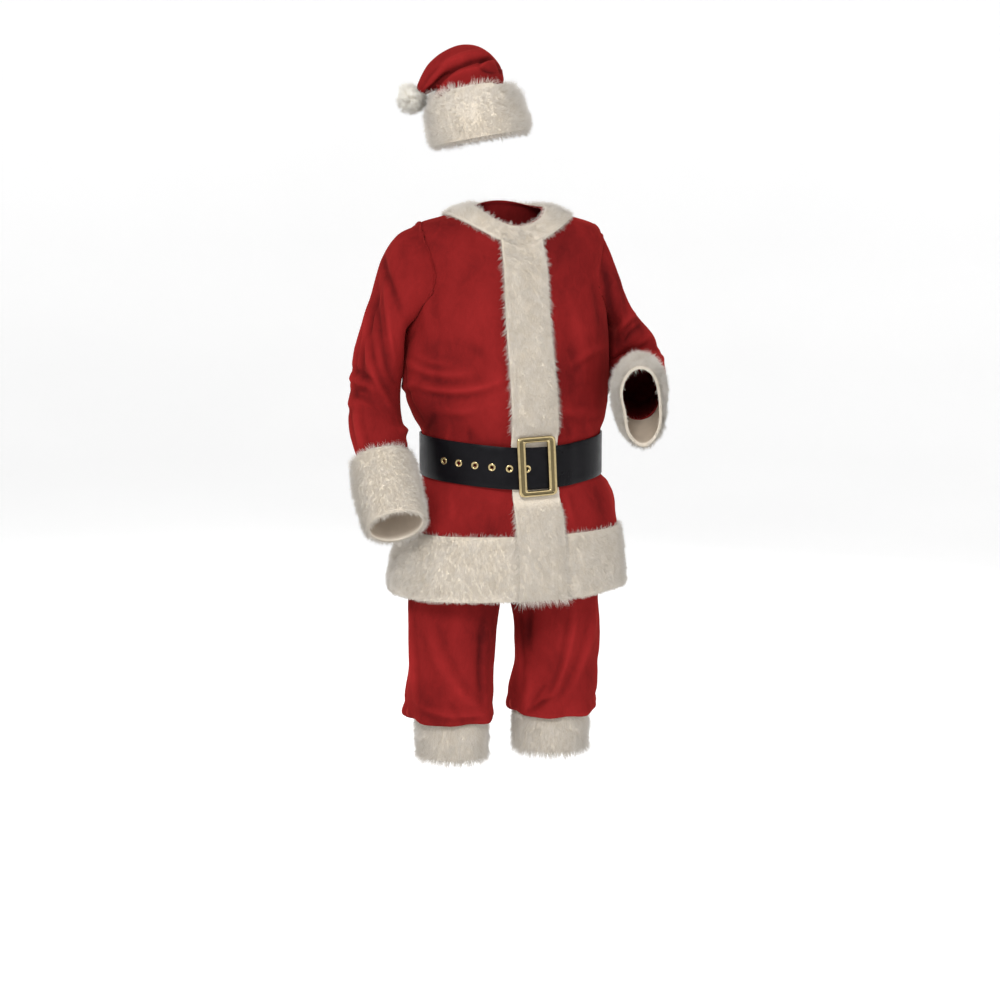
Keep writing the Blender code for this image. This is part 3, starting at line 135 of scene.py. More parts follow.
LEFT_SLEEVE_FOLDS = [
    Fold("armhole drag", FRONT, 0.208, -0.105, 0.232, -0.250, -0.004, 0.008, -0.0055, 0),
    Fold("upper ridge", FRONT, 0.236, -0.120, 0.266, -0.232, -0.006, 0.009, 0.0055, -1),
    Fold("elbow roll", FRONT, 0.286, -0.225, 0.236, -0.278, 0.006, 0.010, 0.0055, 1),
    Fold("elbow crease", FRONT, 0.300, -0.248, 0.254, -0.300, 0.006, 0.008, -0.0055, 0),
    Fold("low elbow roll", FRONT, 0.318, -0.268, 0.270, -0.318, 0.006, 0.010, 0.0045, 0),
    Fold("outer drag", LEFT, -0.010, -0.170, 0.030, -0.300, 0.010, 0.010, -0.0050, 0),
    Fold("outer ridge", LEFT, 0.018, -0.160, 0.052, -0.300, 0.008, 0.010, 0.0050, 1),
    Fold("outer elbow roll", LEFT, -0.060, -0.330, 0.040, -0.300, 0.010, 0.011, 0.0055, -1),
    Fold("outer forearm one", LEFT, -0.150, -0.362, -0.030, -0.372, 0.008, 0.010, -0.0045, 0),
    Fold("outer forearm two", LEFT, -0.155, -0.392, -0.010, -0.402, 0.008, 0.011, 0.0050, -1),
    Fold("back ridge", BACK, -0.230, -0.170, -0.285, -0.330, 0.010, 0.010, 0.0050, 1),
    Fold("back elbow drag", BACK, -0.340, -0.340, -0.260, -0.380, 0.008, 0.010, -0.0045, 0),
]
TROUSER_FOLDS = [
    Fold("right long ridge", FRONT, -0.160, -0.860, -0.058, -1.068, 0.022, 0.014, 0.0055, 1),
    Fold("right inner trough", FRONT, -0.046, -0.860, -0.052, -1.070, 0.006, 0.012, -0.0060, 0),
    Fold("right outer ridge", FRONT, -0.200, -0.850, -0.196, -1.060, 0.006, 0.014, 0.0040, 0),
    Fold("right low gather", FRONT, -0.178, -1.056, -0.040, -1.072, 0.008, 0.009, 0.0045, -1),
    Fold("right low dart", FRONT, -0.120, -1.040, -0.090, -1.090, 0.003, 0.007, -0.0030, 0),
    Fold("left long ridge", FRONT, 0.142, -0.830, 0.088, -1.060, -0.020, 0.010, 0.0060, -1),
    Fold("left outer ridge", FRONT, 0.190, -0.840, 0.104, -1.084, -0.022, 0.010, 0.0050, -1),
    Fold("left inner trough", FRONT, 0.046, -0.850, 0.034, -0.960, 0.006, 0.010, -0.0055, 0),
    Fold("left inner roll", FRONT, 0.024, -0.990, 0.040, -1.080, -0.010, 0.012, 0.0050, 0),
    Fold("left notch", FRONT, 0.048, -1.090, 0.104, -1.052, -0.004, 0.007, -0.0060, 0),
    Fold("left notch crease", FRONT, 0.052, -1.082, 0.080, -1.020, -0.004, 0.006, -0.0040, 0),
    Fold("left low roll", FRONT, 0.062, -1.092, 0.196, -1.086, 0.008, 0.009, 0.0050, 0),
    Fold("left side ridge", LEFT, -0.020, -0.850, -0.048, -1.060, 0.012, 0.013, 0.0050, 1),
    Fold("left side trough", LEFT, 0.030, -0.860, 0.040, -1.070, 0.010, 0.012, -0.0045, 0),
    Fold("right side ridge", RIGHT, 0.010, -0.850, 0.044, -1.060, 0.012, 0.013, 0.0050, 1),
    Fold("right side trough", RIGHT, -0.040, -0.860, -0.028, -1.070, 0.010, 0.012, -0.0045, 0),
    Fold("back right ridge", BACK, 0.160, -0.850, 0.120, -1.062, 0.012, 0.014, 0.0055, 1),
    Fold("back right trough", BACK, 0.088, -0.850, 0.072, -1.066, 0.010, 0.012, -0.0045, 0),
    Fold("back left ridge", BACK, -0.150, -0.850, -0.112, -1.062, -0.012, 0.014, 0.0055, -1),
    Fold("back left trough", BACK, -0.068, -0.850, -0.060, -1.066, 0.010, 0.012, -0.0045, 0),
    Fold("back right gather", BACK, 0.060, -1.056, 0.180, -1.066, 0.006, 0.009, 0.0040, 0),
    Fold("back left gather", BACK, -0.170, -1.060, -0.050, -1.064, 0.006, 0.009, 0.0040, 0),
]
CROWN_FOLDS = [
    Fold("main crease", FRONT, -0.030, 0.301, -0.168, 0.239, 0.011, 0.0060, -0.0130, 0),
    Fold("upper roll", FRONT, -0.030, 0.312, -0.160, 0.258, 0.016, 0.0090, 0.0060, 0),
    Fold("lower roll", FRONT, -0.030, 0.284, -0.150, 0.240, 0.008, 0.0070, 0.0040, 0),
    Fold("crumple bend", FRONT, -0.016, 0.304, -0.058, 0.286, 0.005, 0.0050, -0.0080, 0),
    Fold("crumple drop", FRONT, -0.026, 0.302, -0.014, 0.266, -0.004, 0.0045, -0.0070, 0),
    Fold("crumple pad", FRONT, -0.030, 0.292, -0.060, 0.272, 0.004, 0.0055, 0.0050, 0),
    Fold("crumple tuck", FRONT, -0.062, 0.282, -0.022, 0.268, 0.003, 0.0045, -0.0050, 0),
    Fold("tail crease", FRONT, -0.128, 0.284, -0.176, 0.244, 0.010, 0.0050, -0.0035, 0),
    Fold("back crease", CAP_BACK, 0.020, 0.300, 0.150, 0.240, 0.012, 0.0070, -0.0090, 0),
    Fold("back roll", CAP_BACK, 0.010, 0.280, 0.140, 0.236, 0.010, 0.0080, 0.0050, 0),
    Fold("side crease", CAP_LEFT, -0.050, 0.290, 0.050, 0.280, 0.010, 0.0080, -0.0060, 0),
]

# ---- Velvet pieces: the flat cut of each, width and length, and its area ----
Panel = namedtuple("Panel", "node width length area folds")
PANELS = {
    "jacket": [
        Panel("jacket_front_right", 0.345, 0.700, 0.195, FRONT_FOLDS + SIDE_FOLDS),
        Panel("jacket_front_left", 0.345, 0.700, 0.195, FRONT_FOLDS + SIDE_FOLDS),
        Panel("jacket_back", 0.640, 0.720, 0.380, BACK_FOLDS + SIDE_FOLDS),
    ],
    "sleeves": [
        Panel("sleeve_right", 0.400, 0.540, 0.165, RIGHT_SLEEVE_FOLDS),
        Panel("sleeve_left", 0.400, 0.560, 0.168, LEFT_SLEEVE_FOLDS),
    ],
    "trousers": [
        Panel("trouser_front_right", 0.330, 0.590, 0.175, TROUSER_FOLDS),
        Panel("trouser_back_right", 0.330, 0.590, 0.172, TROUSER_FOLDS),
        Panel("trouser_front_left", 0.330, 0.590, 0.175, TROUSER_FOLDS),
        Panel("trouser_back_left", 0.330, 0.590, 0.172, TROUSER_FOLDS),
        Panel("waistband", 1.060, 0.040, None, []),
    ],
    "crown": [
        Panel("hat_crown", 0.600, 0.180, 0.060, CROWN_FOLDS),
    ],
}

# ---- How the velvet hangs ----
# a span says where a change sets in and where it is whole, to the side, in height or in depth below
# the neck; one of four numbers also says where the change begins to fade and where it ends
ARMHOLE_LOWEST = -0.30
CHEST = (0.0, 0.0, -0.30)
FACING_OUT = 0.02             # how squarely an outer face looks away from the chest, at the least
HEAD_OVERLAP = 0.018          # how far a sleeve's head lies over the armhole's edge
SHOULDERS_OUT = 0.008
RIGHT_SHOULDER_UP = 0.018
RIGHT_SHOULDER_ASIDE = (0.13, 0.24)
RIGHT_SHOULDER_HEIGHTS = (-0.25, -0.07)
LEFT_SHOULDER_UP = 0.009
LEFT_SHOULDER_ASIDE = (0.13, 0.22)
LEFT_SHOULDER_HEIGHTS = (-0.16, -0.05)
ELBOW_OUT = 0.014             # how far the left elbow stands out
ELBOW_ASIDE = (0.25, 0.33)
ELBOW_HEIGHTS = (-0.345, -0.285, -0.285, -0.205)
FLARE = 0.016                 # how far the skirt stands out at its left side
FLARE_ASIDE = (0.06, 0.22)
FLARE_FROM = 0.580
FLARE_WIDEST = 0.684
FLARE_LOWEST = 0.800
SKIRT_PUFF = 0.016            # how far it puffs out there, just below the belt
SKIRT_PUFF_ASIDE = (0.10, 0.20)
SKIRT_PUFF_DEPTHS = (0.570, 0.594, 0.594, 0.680)
HEM_LIFT = 0.006              # how far the hem is lifted at the left
HEM_LIFT_ASIDE = (0.10, 0.21)
HEM_LIFT_DEPTHS = (0.73, 0.79)
FRONT_LEAN = 0.010            # how far the front's lower end hangs to the left
LEAN_DEPTHS = (0.50, 0.74)
LEAN_AHEAD = (0.06, 0.14)
LEAN_FADES = (0.09, 0.21)     # to the side
SIDE_BULGE = 0.007            # how far the right side stands out above the belt
SIDE_BULGE_ASIDE = (0.10, 0.20)
SIDE_BULGE_DEPTHS = (0.20, 0.30, 0.36, 0.44)
INNER_LEFT = 0.014            # how far the left leg's inner side is drawn in
INNER_RIGHT = 0.013
INNER_ASIDE = (0.0, 0.085)    # from the leg's middle
INNER_DEPTHS = (0.80, 0.92)
INNER_FADES = (0.98, 1.09)
OUTER_RIGHT = 0.007           # how far the right leg's outer side stands out
OUTER_RIGHT_DEPTHS = (0.70, 0.80)
OUTER_LEFT = 0.006
OUTER_LEFT_DEPTHS = (0.84, 0.96)
OUTER_ASIDE = (0.14, 0.20)
LEG_CUFF_DEPTHS = (1.090, 1.100)
LEG_AXIS_X = 0.110
PUFF = 0.008                  # how far a leg stands out above its cuff
PUFF_AT_EDGE = 0.0135         # and how much more at its lower edge
PUFF_LESS_INSIDE = 0.30       # how much less it does at its inner side, as a share
PUFF_INSIDE = (0.03, 0.08)
PUFF_FROM = 0.980
PUFF_WIDEST = 1.062
PUFF_LOWEST = 1.094
PUFF_DROP = 0.004
LEG_HEM = -1.075
LEG_HEM_OUT = 0.0015          # how far a leg's hem stands out as it turns
LEG_HEM_TURNED = 0.012        # how far it turns in over the cuff
FOLD_NARROWER = 0.78          # every fold is this much narrower than its width
BESIDE_DEPTH = 0.6            # a shadow trough's depth, as a share of its fold's height
BESIDE_AWAY = 1.7             # and its distance from the fold, in the fold's widths
FOLD_PAINTED_LIGHT = 0.24             # how far a whole fold shifts the colour: painted shade in its troughs, painted highlight on its ridges
FOLD_PAINTED_FULL_LIFT = 0.006           # lift at which the painted highlight is whole, or the painted shade below 0
VELVET_LIGHT_AND_HIGHLIGHT = 1.45          # the lightest nap and the painted highlight on fold ridges, as a share of the velvet's red

# ---- Plush pieces: the way the pile is brushed, its length and how many strands a square metre ----
Plush = namedtuple("Plush", "node width length brushed pile strands tone")
PLUSH_TRIM = [
    Plush("front_band", 0.100, 0.770, (0.15, -0.1, -0.8), 0.0115, 300000, "cream"),
    Plush("hem_band", 1.340, 0.125, (0.1, 0.0, -0.8), 0.0110, 280000, "cream"),
    Plush("collar", 0.500, 0.065, (0.0, 0.0, -0.6), 0.0110, 300000, "cream"),
    Plush("sleeve_cuff_right", 0.420, 0.145, (0.0, -0.5, -0.6), 0.0120, 300000, "cream"),
    Plush("sleeve_cuff_left", 0.440, 0.125, (-0.2, -0.7, -0.2), 0.0120, 300000, "cream"),
    Plush("trouser_cuff_right", 0.510, 0.078, (0.0, 0.0, -0.9), 0.0130, 300000, "cream"),
    Plush("trouser_cuff_left", 0.510, 0.078, (0.0, 0.0, -0.9), 0.0130, 300000, "cream"),
]
PLUSH_CAP = [
    Plush("hat_brim", 0.740, 0.130, (0.1, 0.0, 0.25), 0.0120, 300000, "cream"),
    Plush("hat_pompom", 0.090, 0.090, (0.0, 0.0, 0.0), 0.0150, 1900000, "white"),
]
FIRST_TRIM_SEED = 1
FIRST_CAP_SEED = 21
RIM_ANGLE = math.radians(52.0)  # edges sharper than this part the faces of a solid
RIM_CREASE = 0.85             # how sharp they stay when a plush piece's faces are rounded
TRIM_SINK = 0.5               # the backing lies this share of the way into the solid
BALL_SINK = TRIM_SINK / 1.5   # and this share where there is no lining, as in the pompom
LINING_DEEP = (0.001, 0.010)  # how far from the pile's side the lining's painted shade sets in and is whole
LINING_SHADE = (0.66, 0.62, 0.58, 1.0)
LOCKS_PER_METRE = 75.0
LOCK_PULL = 30.0              # how strongly strands lean together in locks
SWIRLS = ((38.0, 1.5), (150.0, 1.1))  # the fineness and the strength of the pile's swirls
FRAY = 0.26                   # how far each strand leans its own way
LEAST_STEEP = 0.35            # no strand points further down towards the backing than this
STRAND_LENGTHS = (0.60, 1.25)
TUFTS_PER_METRE = 60.0
TUFT_UNEVEN = 0.45            # how much longer or shorter the pile is in tufts, as a share
PILE_EDGE = (0.004, 0.020)    # how far above a piece's lowest point its lower edge reaches
BAND_END_LONGER = 0.7         # the pile along an edge, as a share of its length more or less
BAND_RIGHT_LONGER = 0.30
BAND_RIGHT_EDGE = (-0.036, -0.026)
LEG_CUFF_LONGER = 0.5
HEM_SHORTER = 0.5
BRIM_TOP_LONGER = 0.10
BRIM_TOP_EDGE = (0.055, 0.020)  # below the brim's highest point
CAP_X = -0.060
CAP_TURN = -18.0
CAP_TILT = 10.0
BRIM_LOW = 0.138
BRIM_HIGH = 0.106
BRIM_PUFF = 0.030             # how much wider the brim is half way up, as a share
BRIM_ROUND = 0.045            # how much narrower it is at its upper edge, as a share
BRIM_ROUND_LEVELS = (0.60, 1.0)
BRIM_RIGHT = (0.02, 0.11)
BRIM_LEFT = (0.02, 0.10)
BRIM_WIDER = 0.014            # how far the brim stands out over the right ear
BRIM_DRAWN_IN = 0.012         # how far it is drawn in above the left ear
BRIM_DRAWN_LEVELS = (0.18, 0.48)
BRIM_TOP_DROP = 0.008         # how much lower its upper edge lies at the right side
BRIM_LEFT_DROP = 2.3          # and at the left, as a share of that
BRIM_DROP_LEVELS = (0.4, 1.0)
CROWN_LEFT = -0.010           # the crown's left side, as it is seen
CROWN_DRAWN_IN = 0.9          # how much of what stands past it is drawn in
CROWN_LEFT_HEIGHTS = (0.246, 0.256, 0.276, 0.292)
POMPOM_DROP = 0.003
TAIL_DROP = 0.013             # how far the tail hangs beside the pompom
TAIL_ASIDE = (0.10, 0.15)
TAIL_HEIGHTS = (0.255, 0.290)
CUFF_STANDS_OUT = 0.012       # how far the right cuff stands out from the arm
CUFF_OUTER = (0.0, 0.06)
CUFF_LEAN = 0.020             # how far the left cuff's lowest part hangs to the left
CUFF_LEAN_LEVELS = (0.30, 1.0)
CUFF_MOUTH = (0.30, 0.85)
CUFF_ROUND = 0.35             # how much wider the left cuff's lower side is, as a share
CUFF_ROUND_LEVELS = (0.55, 0.95)
BAND_EDGES = (-0.046, 0.065)  # the front band's edges at the hem
BAND_AHEAD = (0.05, 0.10)
END_OVERLAP = 0.007           # how far the hem band's ends reach under the front band
END_FROM = (-0.075, 0.095)
END_PAST_EDGE = 0.004
COLLAR_OVERLAP = 0.003        # and the collar's ends into each other
COLLAR_ENDS = (0.003, 0.015)
BAND_UNDER_COLLAR = 0.006     # and the front band's top under the collar
BAND_TOP_HEIGHTS = (-0.100, -0.072)
BELTED_PILE = 0.2             # the pile's length under the belt, as a share
BELTED_FADE = 0.018
BELTED_FROM = -0.612
BELTED_TO = -0.478

# ---- The belt, as its solids lie ----
BELT_HEIGHT = 0.088
BELT_THICKNESS = 0.0035
BELT_FRONT_Z = -0.542
BELT_SIDE_Z = -0.525
BELT_BACK_Z = -0.523
BELT_HALF_WIDTH = 0.194
BELT_LEAN = 0.008
BELT_FRONT = 0.155
BELT_BACK = 0.131
BODY_POWER = 2.25
BELT_CLEARANCE = 0.0008
BELT_OVER_BAND = 0.0038
BELT_BAND_RIGHT = (-33.0, -21.0)
BELT_BAND_LEFT = (25.0, 37.0)
BELT_LAYER_GAP = 0.0006
BELT_OVERLAP = (0.16, 0.06)
BELT_STEP = 0.0175
BELT_START = -0.038
BELT_TIP = 0.0443             # the strap's tip, past the middle of the front
STRAP_STEP = 0.004
STRAP_CUTS = (-0.030, -0.010, 0.010, 0.030)
STRAP_EDGE = 0.0007
EYELETS = 6
EYELET_FIRST = -0.017
EYELET_SPACING = 2 * BELT_STEP
EYELET_HOLE = 0.0042
EYELET_RING = 0.0062
EYELET_WIRE = 0.0018
EYELET_FLATNESS = 0.5
EYELET_STEPS = 36
EYELET_PLAY = 0.0001          # between the barrel and the hole
EYELET_SHEET = 0.0004
BUCKLE_MIDDLE = 0.0020
BUCKLE_HALF_WIDTH = 0.0378
BUCKLE_HALF_HEIGHT = 0.0625
BUCKLE_SIDE_MEMBER = 0.016
BUCKLE_END_MEMBER = 0.012
BUCKLE_RISE = 0.005           # its middle, above the strap's
BUCKLE_TILT = 2.5
BUCKLE_CORNER = 0.010
BUCKLE_CLEARANCE = 0.0026
BUCKLE_WINDOW_CORNER = 0.003
BUCKLE_CORNER_STEPS = 8
CHANNEL = (0.32, 0.72)
CHANNEL_PAINTED_SHADE = 0.30           # the channel between the edges is painted in shade, to this share of the metal
BUCKLE_SIDE_STEPS = 12
SHARP_ANGLE = math.radians(35.0)
# across the frame's member, from its outer edge to its window: share of the way, height
BUCKLE_SECTION = (
    (0.00, 0.0000), (0.00, 0.0040), (0.03, 0.0052), (0.08, 0.0059), (0.14, 0.0060), (0.26, 0.0060),
    (0.31, 0.0057), (0.34, 0.0044), (0.38, 0.0040), (0.66, 0.0040), (0.70, 0.0044), (0.73, 0.0055),
    (0.77, 0.0058), (0.90, 0.0058), (0.96, 0.0052), (1.00, 0.0040), (1.00, 0.0000),
)

# ---- The stage ----
CAMERA_TURN = -18.0
CAMERA_TILT = 8.55
CAMERA_DISTANCE = 4.2
CAMERA_ASIDE = -0.0147
FOCAL_SHARE = 1.962           # focal length as a share of the image's width
SENSOR = 36.0
VIEW_REACH = 100.0
FLOOR_Z = -1.54
FLOOR_PROFILE = ((0.0, 0.0), (5.5, 0.0), (7.0, 0.12), (8.2, 0.55), (9.1, 1.3), (9.6, 2.4), (9.8, 3.8))
FLOOR_STEPS = 96
FLOOR_GLOW = 0.22             # a lit studio's walls
STUDIO_LIGHT = 0.66
Lamp = namedtuple("Lamp", "name place aim size power")
LAMPS = (
    Lamp("key", (-1.9, -3.6, 1.9), (0.0, 0.0, -0.5), 1.4, 145.0),
    Lamp("fill", (2.8, -3.0, 0.6), (0.0, 0.0, -0.5), 2.2, 18.0),
    Lamp("back left", (-2.2, 2.6, 1.8), (0.0, 0.0, -0.4), 1.6, 55.0),
    Lamp("back right", (2.4, 2.4, 1.2), (0.0, 0.0, -0.4), 1.6, 40.0),
)


class SuitSettings(bpy.types.PropertyGroup):
    """The sizes and colours that a user would change."""

    velvet_red: FloatVectorProperty(
        name="Velvet", description="Red of the nap", subtype="COLOR", size=4, min=0.0, max=1.0,
        default=(0.166, 0.0112, 0.0112, 1.0))
    # the darkest red: the nap turned away, and also the painted shade in the folds' troughs
    velvet_dark_and_fold_shade: FloatVectorProperty(
        name="Velvet against the nap", description="Red where the nap turns away", subtype="COLOR",
        size=4, min=0.0, max=1.0, default=(0.066, 0.0060, 0.0064, 1.0))
    plush_cream: FloatVectorProperty(
        name="Cream plush", description="Pile of the jacket's and the cap's trim", subtype="COLOR",
        size=4, min=0.0, max=1.0, default=(0.765, 0.708, 0.632, 1.0))
    plush_white: FloatVectorProperty(
        name="White plush", description="Pile of the pompom",
        subtype="COLOR", size=4, min=0.0, max=1.0, default=(0.96, 0.93, 0.85, 1.0))
    vinyl_black: FloatVectorProperty(
        name="Belt", description="Black of the strap", subtype="COLOR", size=4, min=0.0, max=1.0,
        default=(0.0032, 0.0030, 0.0040, 1.0))
    pale_brass: FloatVectorProperty(
        name="Brass", description="Metal of the buckle and the eyelets", subtype="COLOR", size=4,
        min=0.0, max=1.0, default=(0.58, 0.46, 0.24, 1.0))
    cloth: FloatProperty(
        name="Cloth", description="Thickness of the velvet", unit="LENGTH", min=0.0005, max=0.003,
        default=0.002)
    fold_height: FloatProperty(
        name="Fold height", description="Height of every fold, as a share of its own", min=0.0,
        max=1.5, default=1.0)
    strand_width: FloatProperty(
        name="Strand", description="Radius of a lock of pile at its root", unit="LENGTH",
        min=0.0001, max=0.002, default=0.00038)
    fineness: IntProperty(
        name="Fineness", description="Times that a velvet panel's faces are split", min=1, max=3,
        default=2)


# ---- Materials ----
def set_inputs(node, **values):
    """Set a node's inputs, whose names have spaces in place of underscores."""
    for name, value in values.items():
        node.inputs[name.replace("_", " ")].default_value = value


def node_of(tree, kind, **values):
    """Add a node and set its inputs."""
    node = tree.nodes.new(kind)
    set_inputs(node, **values)
    return node


def give(tree, socket, value):
    """Link a socket to another node's output, or set it to a value."""
    if isinstance(value, bpy.types.NodeSocket):
        tree.links.new(value, socket)
    else:
        socket.default_value = value


def attribute_of(tree, name):
    """A node that reads what a piece's points carry under a name."""
    node = tree.nodes.new("ShaderNodeAttribute")
    node.attribute_name = name
    return node


def tinted(colour, *tints):
    """A colour times one number, or times one for each channel."""
    each = tints * 3 if len(tints) == 1 else tints
    return tuple(min(1.0, share * tint) for share, tint in zip(colour, each)) + (1.0,)


def new_material(name):
    """A material with its shader, its node tree and the piece's own coordinates."""
    material = bpy.data.materials.new(name)
    material.use_nodes = True
    tree = material.node_tree
    place = tree.nodes.new("ShaderNodeTexCoord").outputs["Object"]
    return material, tree, tree.nodes["Principled BSDF"], place


def stretched(tree, place, scale):
    """The piece's coordinates, scaled along each axis."""
    mapping = node_of(tree, "ShaderNodeMapping", Scale=scale)
    tree.links.new(place, mapping.inputs["Vector"])
    return mapping.outputs["Vector"]


def cloudy(tree, place, scale, detail=3.0, roughness=0.55, distortion=0.0):
    """A noise pattern's strength."""
    cloud = node_of(tree, "ShaderNodeTexNoise", Scale=scale, Detail=detail, Roughness=roughness,
                    Distortion=distortion)
    tree.links.new(place, cloud.inputs["Vector"])
    return cloud.outputs["Fac"]


def ramp_of(tree, strength, *stops):
    """A colour ramp through (place, colour) stops."""
    ramp = tree.nodes.new("ShaderNodeValToRGB")
    while len(ramp.color_ramp.elements) < len(stops):
        ramp.color_ramp.elements.new(0.5)
    for element, (place, colour) in zip(ramp.color_ramp.elements, stops):
        element.position = place
        element.color = colour
    tree.links.new(strength, ramp.inputs["Fac"])
    return ramp.outputs["Color"]


def mixed(tree, share, first, second, how="MIX"):
    """Two colours or patterns, mixed."""
    mix = tree.nodes.new("ShaderNodeMix")
    mix.data_type = "RGBA"
    mix.blend_type = how
    for number, value in ((0, share), (6, first), (7, second)):
        give(tree, mix.inputs[number], value)
    return mix.outputs[2]


def bumped(tree, height, distance, strength=1.0, after=None):
    """A bump from a height pattern, on top of another bump if there is one."""
    bump = node_of(tree, "ShaderNodeBump", Distance=distance, Strength=strength)
    tree.links.new(height, bump.inputs["Height"])
    if after is not None:
        tree.links.new(after, bump.inputs["Normal"])
    return bump.outputs["Normal"]


def velvet_material(settings):
    """Crushed velvet: the nap lies in soft patches, with painted shade in the folds and painted highlight
    on their ridges.
    """
    material, tree, shader, place = new_material("crushed velvet")
    patches = cloudy(tree, stretched(tree, place, (1.0, 1.0, 0.6)), 9.0,
                     detail=2.0, roughness=0.5, distortion=0.5)
    crush = cloudy(tree, stretched(tree, place, (1.0, 1.0, 0.7)), 60.0,
                   detail=4.0, roughness=0.6, distortion=0.8)
    pile = cloudy(tree, place, 900.0, detail=2.0)
    # the fold attribute adds painted shade in the troughs and painted highlight on the ridges to the nap's
    # patches
    nap = tree.nodes.new("ShaderNodeMath")
    nap.operation = "MULTIPLY_ADD"
    nap.inputs[1].default_value = FOLD_PAINTED_LIGHT
    tree.links.new(attribute_of(tree, "fold").outputs["Fac"], nap.inputs[0])
    tree.links.new(mixed(tree, 0.25, patches, crush), nap.inputs[2])
    dark = tuple(settings.velvet_dark_and_fold_shade)
    red = tuple(settings.velvet_red)
    light_and_highlight = tinted(red, VELVET_LIGHT_AND_HIGHLIGHT)
    colour = ramp_of(tree, nap.outputs["Value"], (0.20, dark), (0.48, red), (0.80, light_and_highlight))
    tree.links.new(colour, shader.inputs["Base Color"])
    set_inputs(shader, Roughness=0.62, Specular_IOR_Level=0.0, Sheen_Weight=0.20, Sheen_Roughness=0.35,
               Sheen_Tint=(1.0, 0.12, 0.10, 1.0))
    lie = bumped(tree, crush, 0.0016, 0.45)
    tree.links.new(bumped(tree, pile, 0.0004, 0.45, lie), shader.inputs["Normal"])
    return material


def plush_material(name, colour, strands):
    """Plush: strands are darker at the root, a painted shade between them; the backing under them is a
    little darker all over, a painted shade under the pile.
    """
    material, tree, shader, place = new_material(name)
    light = tuple(colour)
    broad = cloudy(tree, place, 26.0, detail=3.0, roughness=0.6, distortion=0.4)
    small = cloudy(tree, place, 85.0, detail=2.0, roughness=0.5, distortion=0.8)
    patches = mixed(tree, 0.45, broad, small)
    tufts = ramp_of(tree, patches, (0.34, tinted(light, 0.935, 0.915, 0.875)), (0.58, light))
    if strands:
        # the roots are darker: a painted shade between the strands
        tip = attribute_of(tree, "tip")
        depth = ramp_of(tree, tip.outputs["Fac"], (0.0, (0.84, 0.815, 0.77, 1)), (0.5, (1, 1, 1, 1)))
        tree.links.new(mixed(tree, 1.0, tufts, depth, "MULTIPLY"), shader.inputs["Base Color"])
        # strands shade for the most part as the surface that they grow on
        skin = attribute_of(tree, "skin")
        own = tree.nodes.new("ShaderNodeNewGeometry")
        soft = mixed(tree, 0.3, skin.outputs["Vector"], own.outputs["Normal"])
        tree.links.new(soft, shader.inputs["Normal"])
    else:
        # the backing is darkened all over: a painted shade under the pile
        shade = mixed(tree, 1.0, tufts, (0.86, 0.83, 0.78, 1.0), "MULTIPLY")
        tree.links.new(shade, shader.inputs["Base Color"])
        locks = cloudy(tree, stretched(tree, place, (1.0, 1.0, 0.4)), 320.0)
        tree.links.new(bumped(tree, locks, 0.002, 0.6), shader.inputs["Normal"])
    set_inputs(shader, Roughness=0.85, Specular_IOR_Level=0.2, Sheen_Weight=0.35, Sheen_Roughness=0.5)
    return material


def lining_material(settings):
    """Smooth cream cloth inside the plush pieces, with a fine plain weave, and a painted shade that
    darkens it further in.
    """
    material, tree, shader, place = new_material("cream lining")
    light = tinted(settings.plush_cream, 0.94, 0.90, 0.85)
    cloth = ramp_of(tree, cloudy(tree, place, 18.0), (0.35, tinted(light, 0.86)), (0.65, light))
    deep = attribute_of(tree, "deep")
    shade = ramp_of(tree, deep.outputs["Fac"], (0.0, (1.0, 1.0, 1.0, 1.0)), (1.0, LINING_SHADE))
    tree.links.new(mixed(tree, 1.0, cloth, shade, "MULTIPLY"), shader.inputs["Base Color"])
    weave = cloudy(tree, stretched(tree, place, (1.0, 1.0, 1.4)), 1500.0, detail=1.0)
    tree.links.new(bumped(tree, weave, 0.0003, 0.4), shader.inputs["Normal"])
    set_inputs(shader, Roughness=0.7)
    return material


def vinyl_material(settings):
    """Satin black vinyl with a fine grain, creased a little and rubbed in patches."""
    material, tree, shader, place = new_material("satin vinyl")
    black = tuple(settings.vinyl_black)
    rub = cloudy(tree, place, 16.0, detail=4.0, roughness=0.6)
    worn = ramp_of(tree, rub, (0.40, black), (0.75, tinted(black, 1.7)))
    tree.links.new(worn, shader.inputs["Base Color"])
    gloss = ramp_of(tree, rub, (0.35, (0.26, 0.26, 0.26, 1)), (0.70, (0.42, 0.42, 0.42, 1)))
    tree.links.new(gloss, shader.inputs["Roughness"])
    wave = cloudy(tree, stretched(tree, place, (1.0, 1.0, 0.3)), 22.0, detail=2.0)
    grain = node_of(tree, "ShaderNodeTexVoronoi", Scale=950.0)
    tree.links.new(place, grain.inputs["Vector"])
    lie = bumped(tree, wave, 0.003, 0.35)
    tree.links.new(bumped(tree, grain.outputs["Distance"], 0.0002, 0.5, lie), shader.inputs["Normal"])
    set_inputs(shader, Specular_IOR_Level=0.10)
    return material


def brass_material(settings):
    """Pale polished brass with faint handling marks, and a painted shade in the buckle's channel."""
    material, tree, shader, place = new_material("pale brass")
    light = tuple(settings.pale_brass)
    marks = cloudy(tree, place, 140.0, detail=5.0, roughness=0.6)
    metal = ramp_of(tree, marks, (0.35, tinted(light, 0.80)), (0.60, light))
    # the channel's points get a painted shade
    channel = attribute_of(tree, "channel").outputs["Fac"]
    tree.links.new(mixed(tree, channel, metal, tinted(light, CHANNEL_PAINTED_SHADE)), shader.inputs["Base Color"])
    gloss = ramp_of(tree, marks, (0.35, (0.20, 0.20, 0.20, 1)), (0.65, (0.11, 0.11, 0.11, 1)))
    tree.links.new(gloss, shader.inputs["Roughness"])
    set_inputs(shader, Metallic=1.0)
    return material


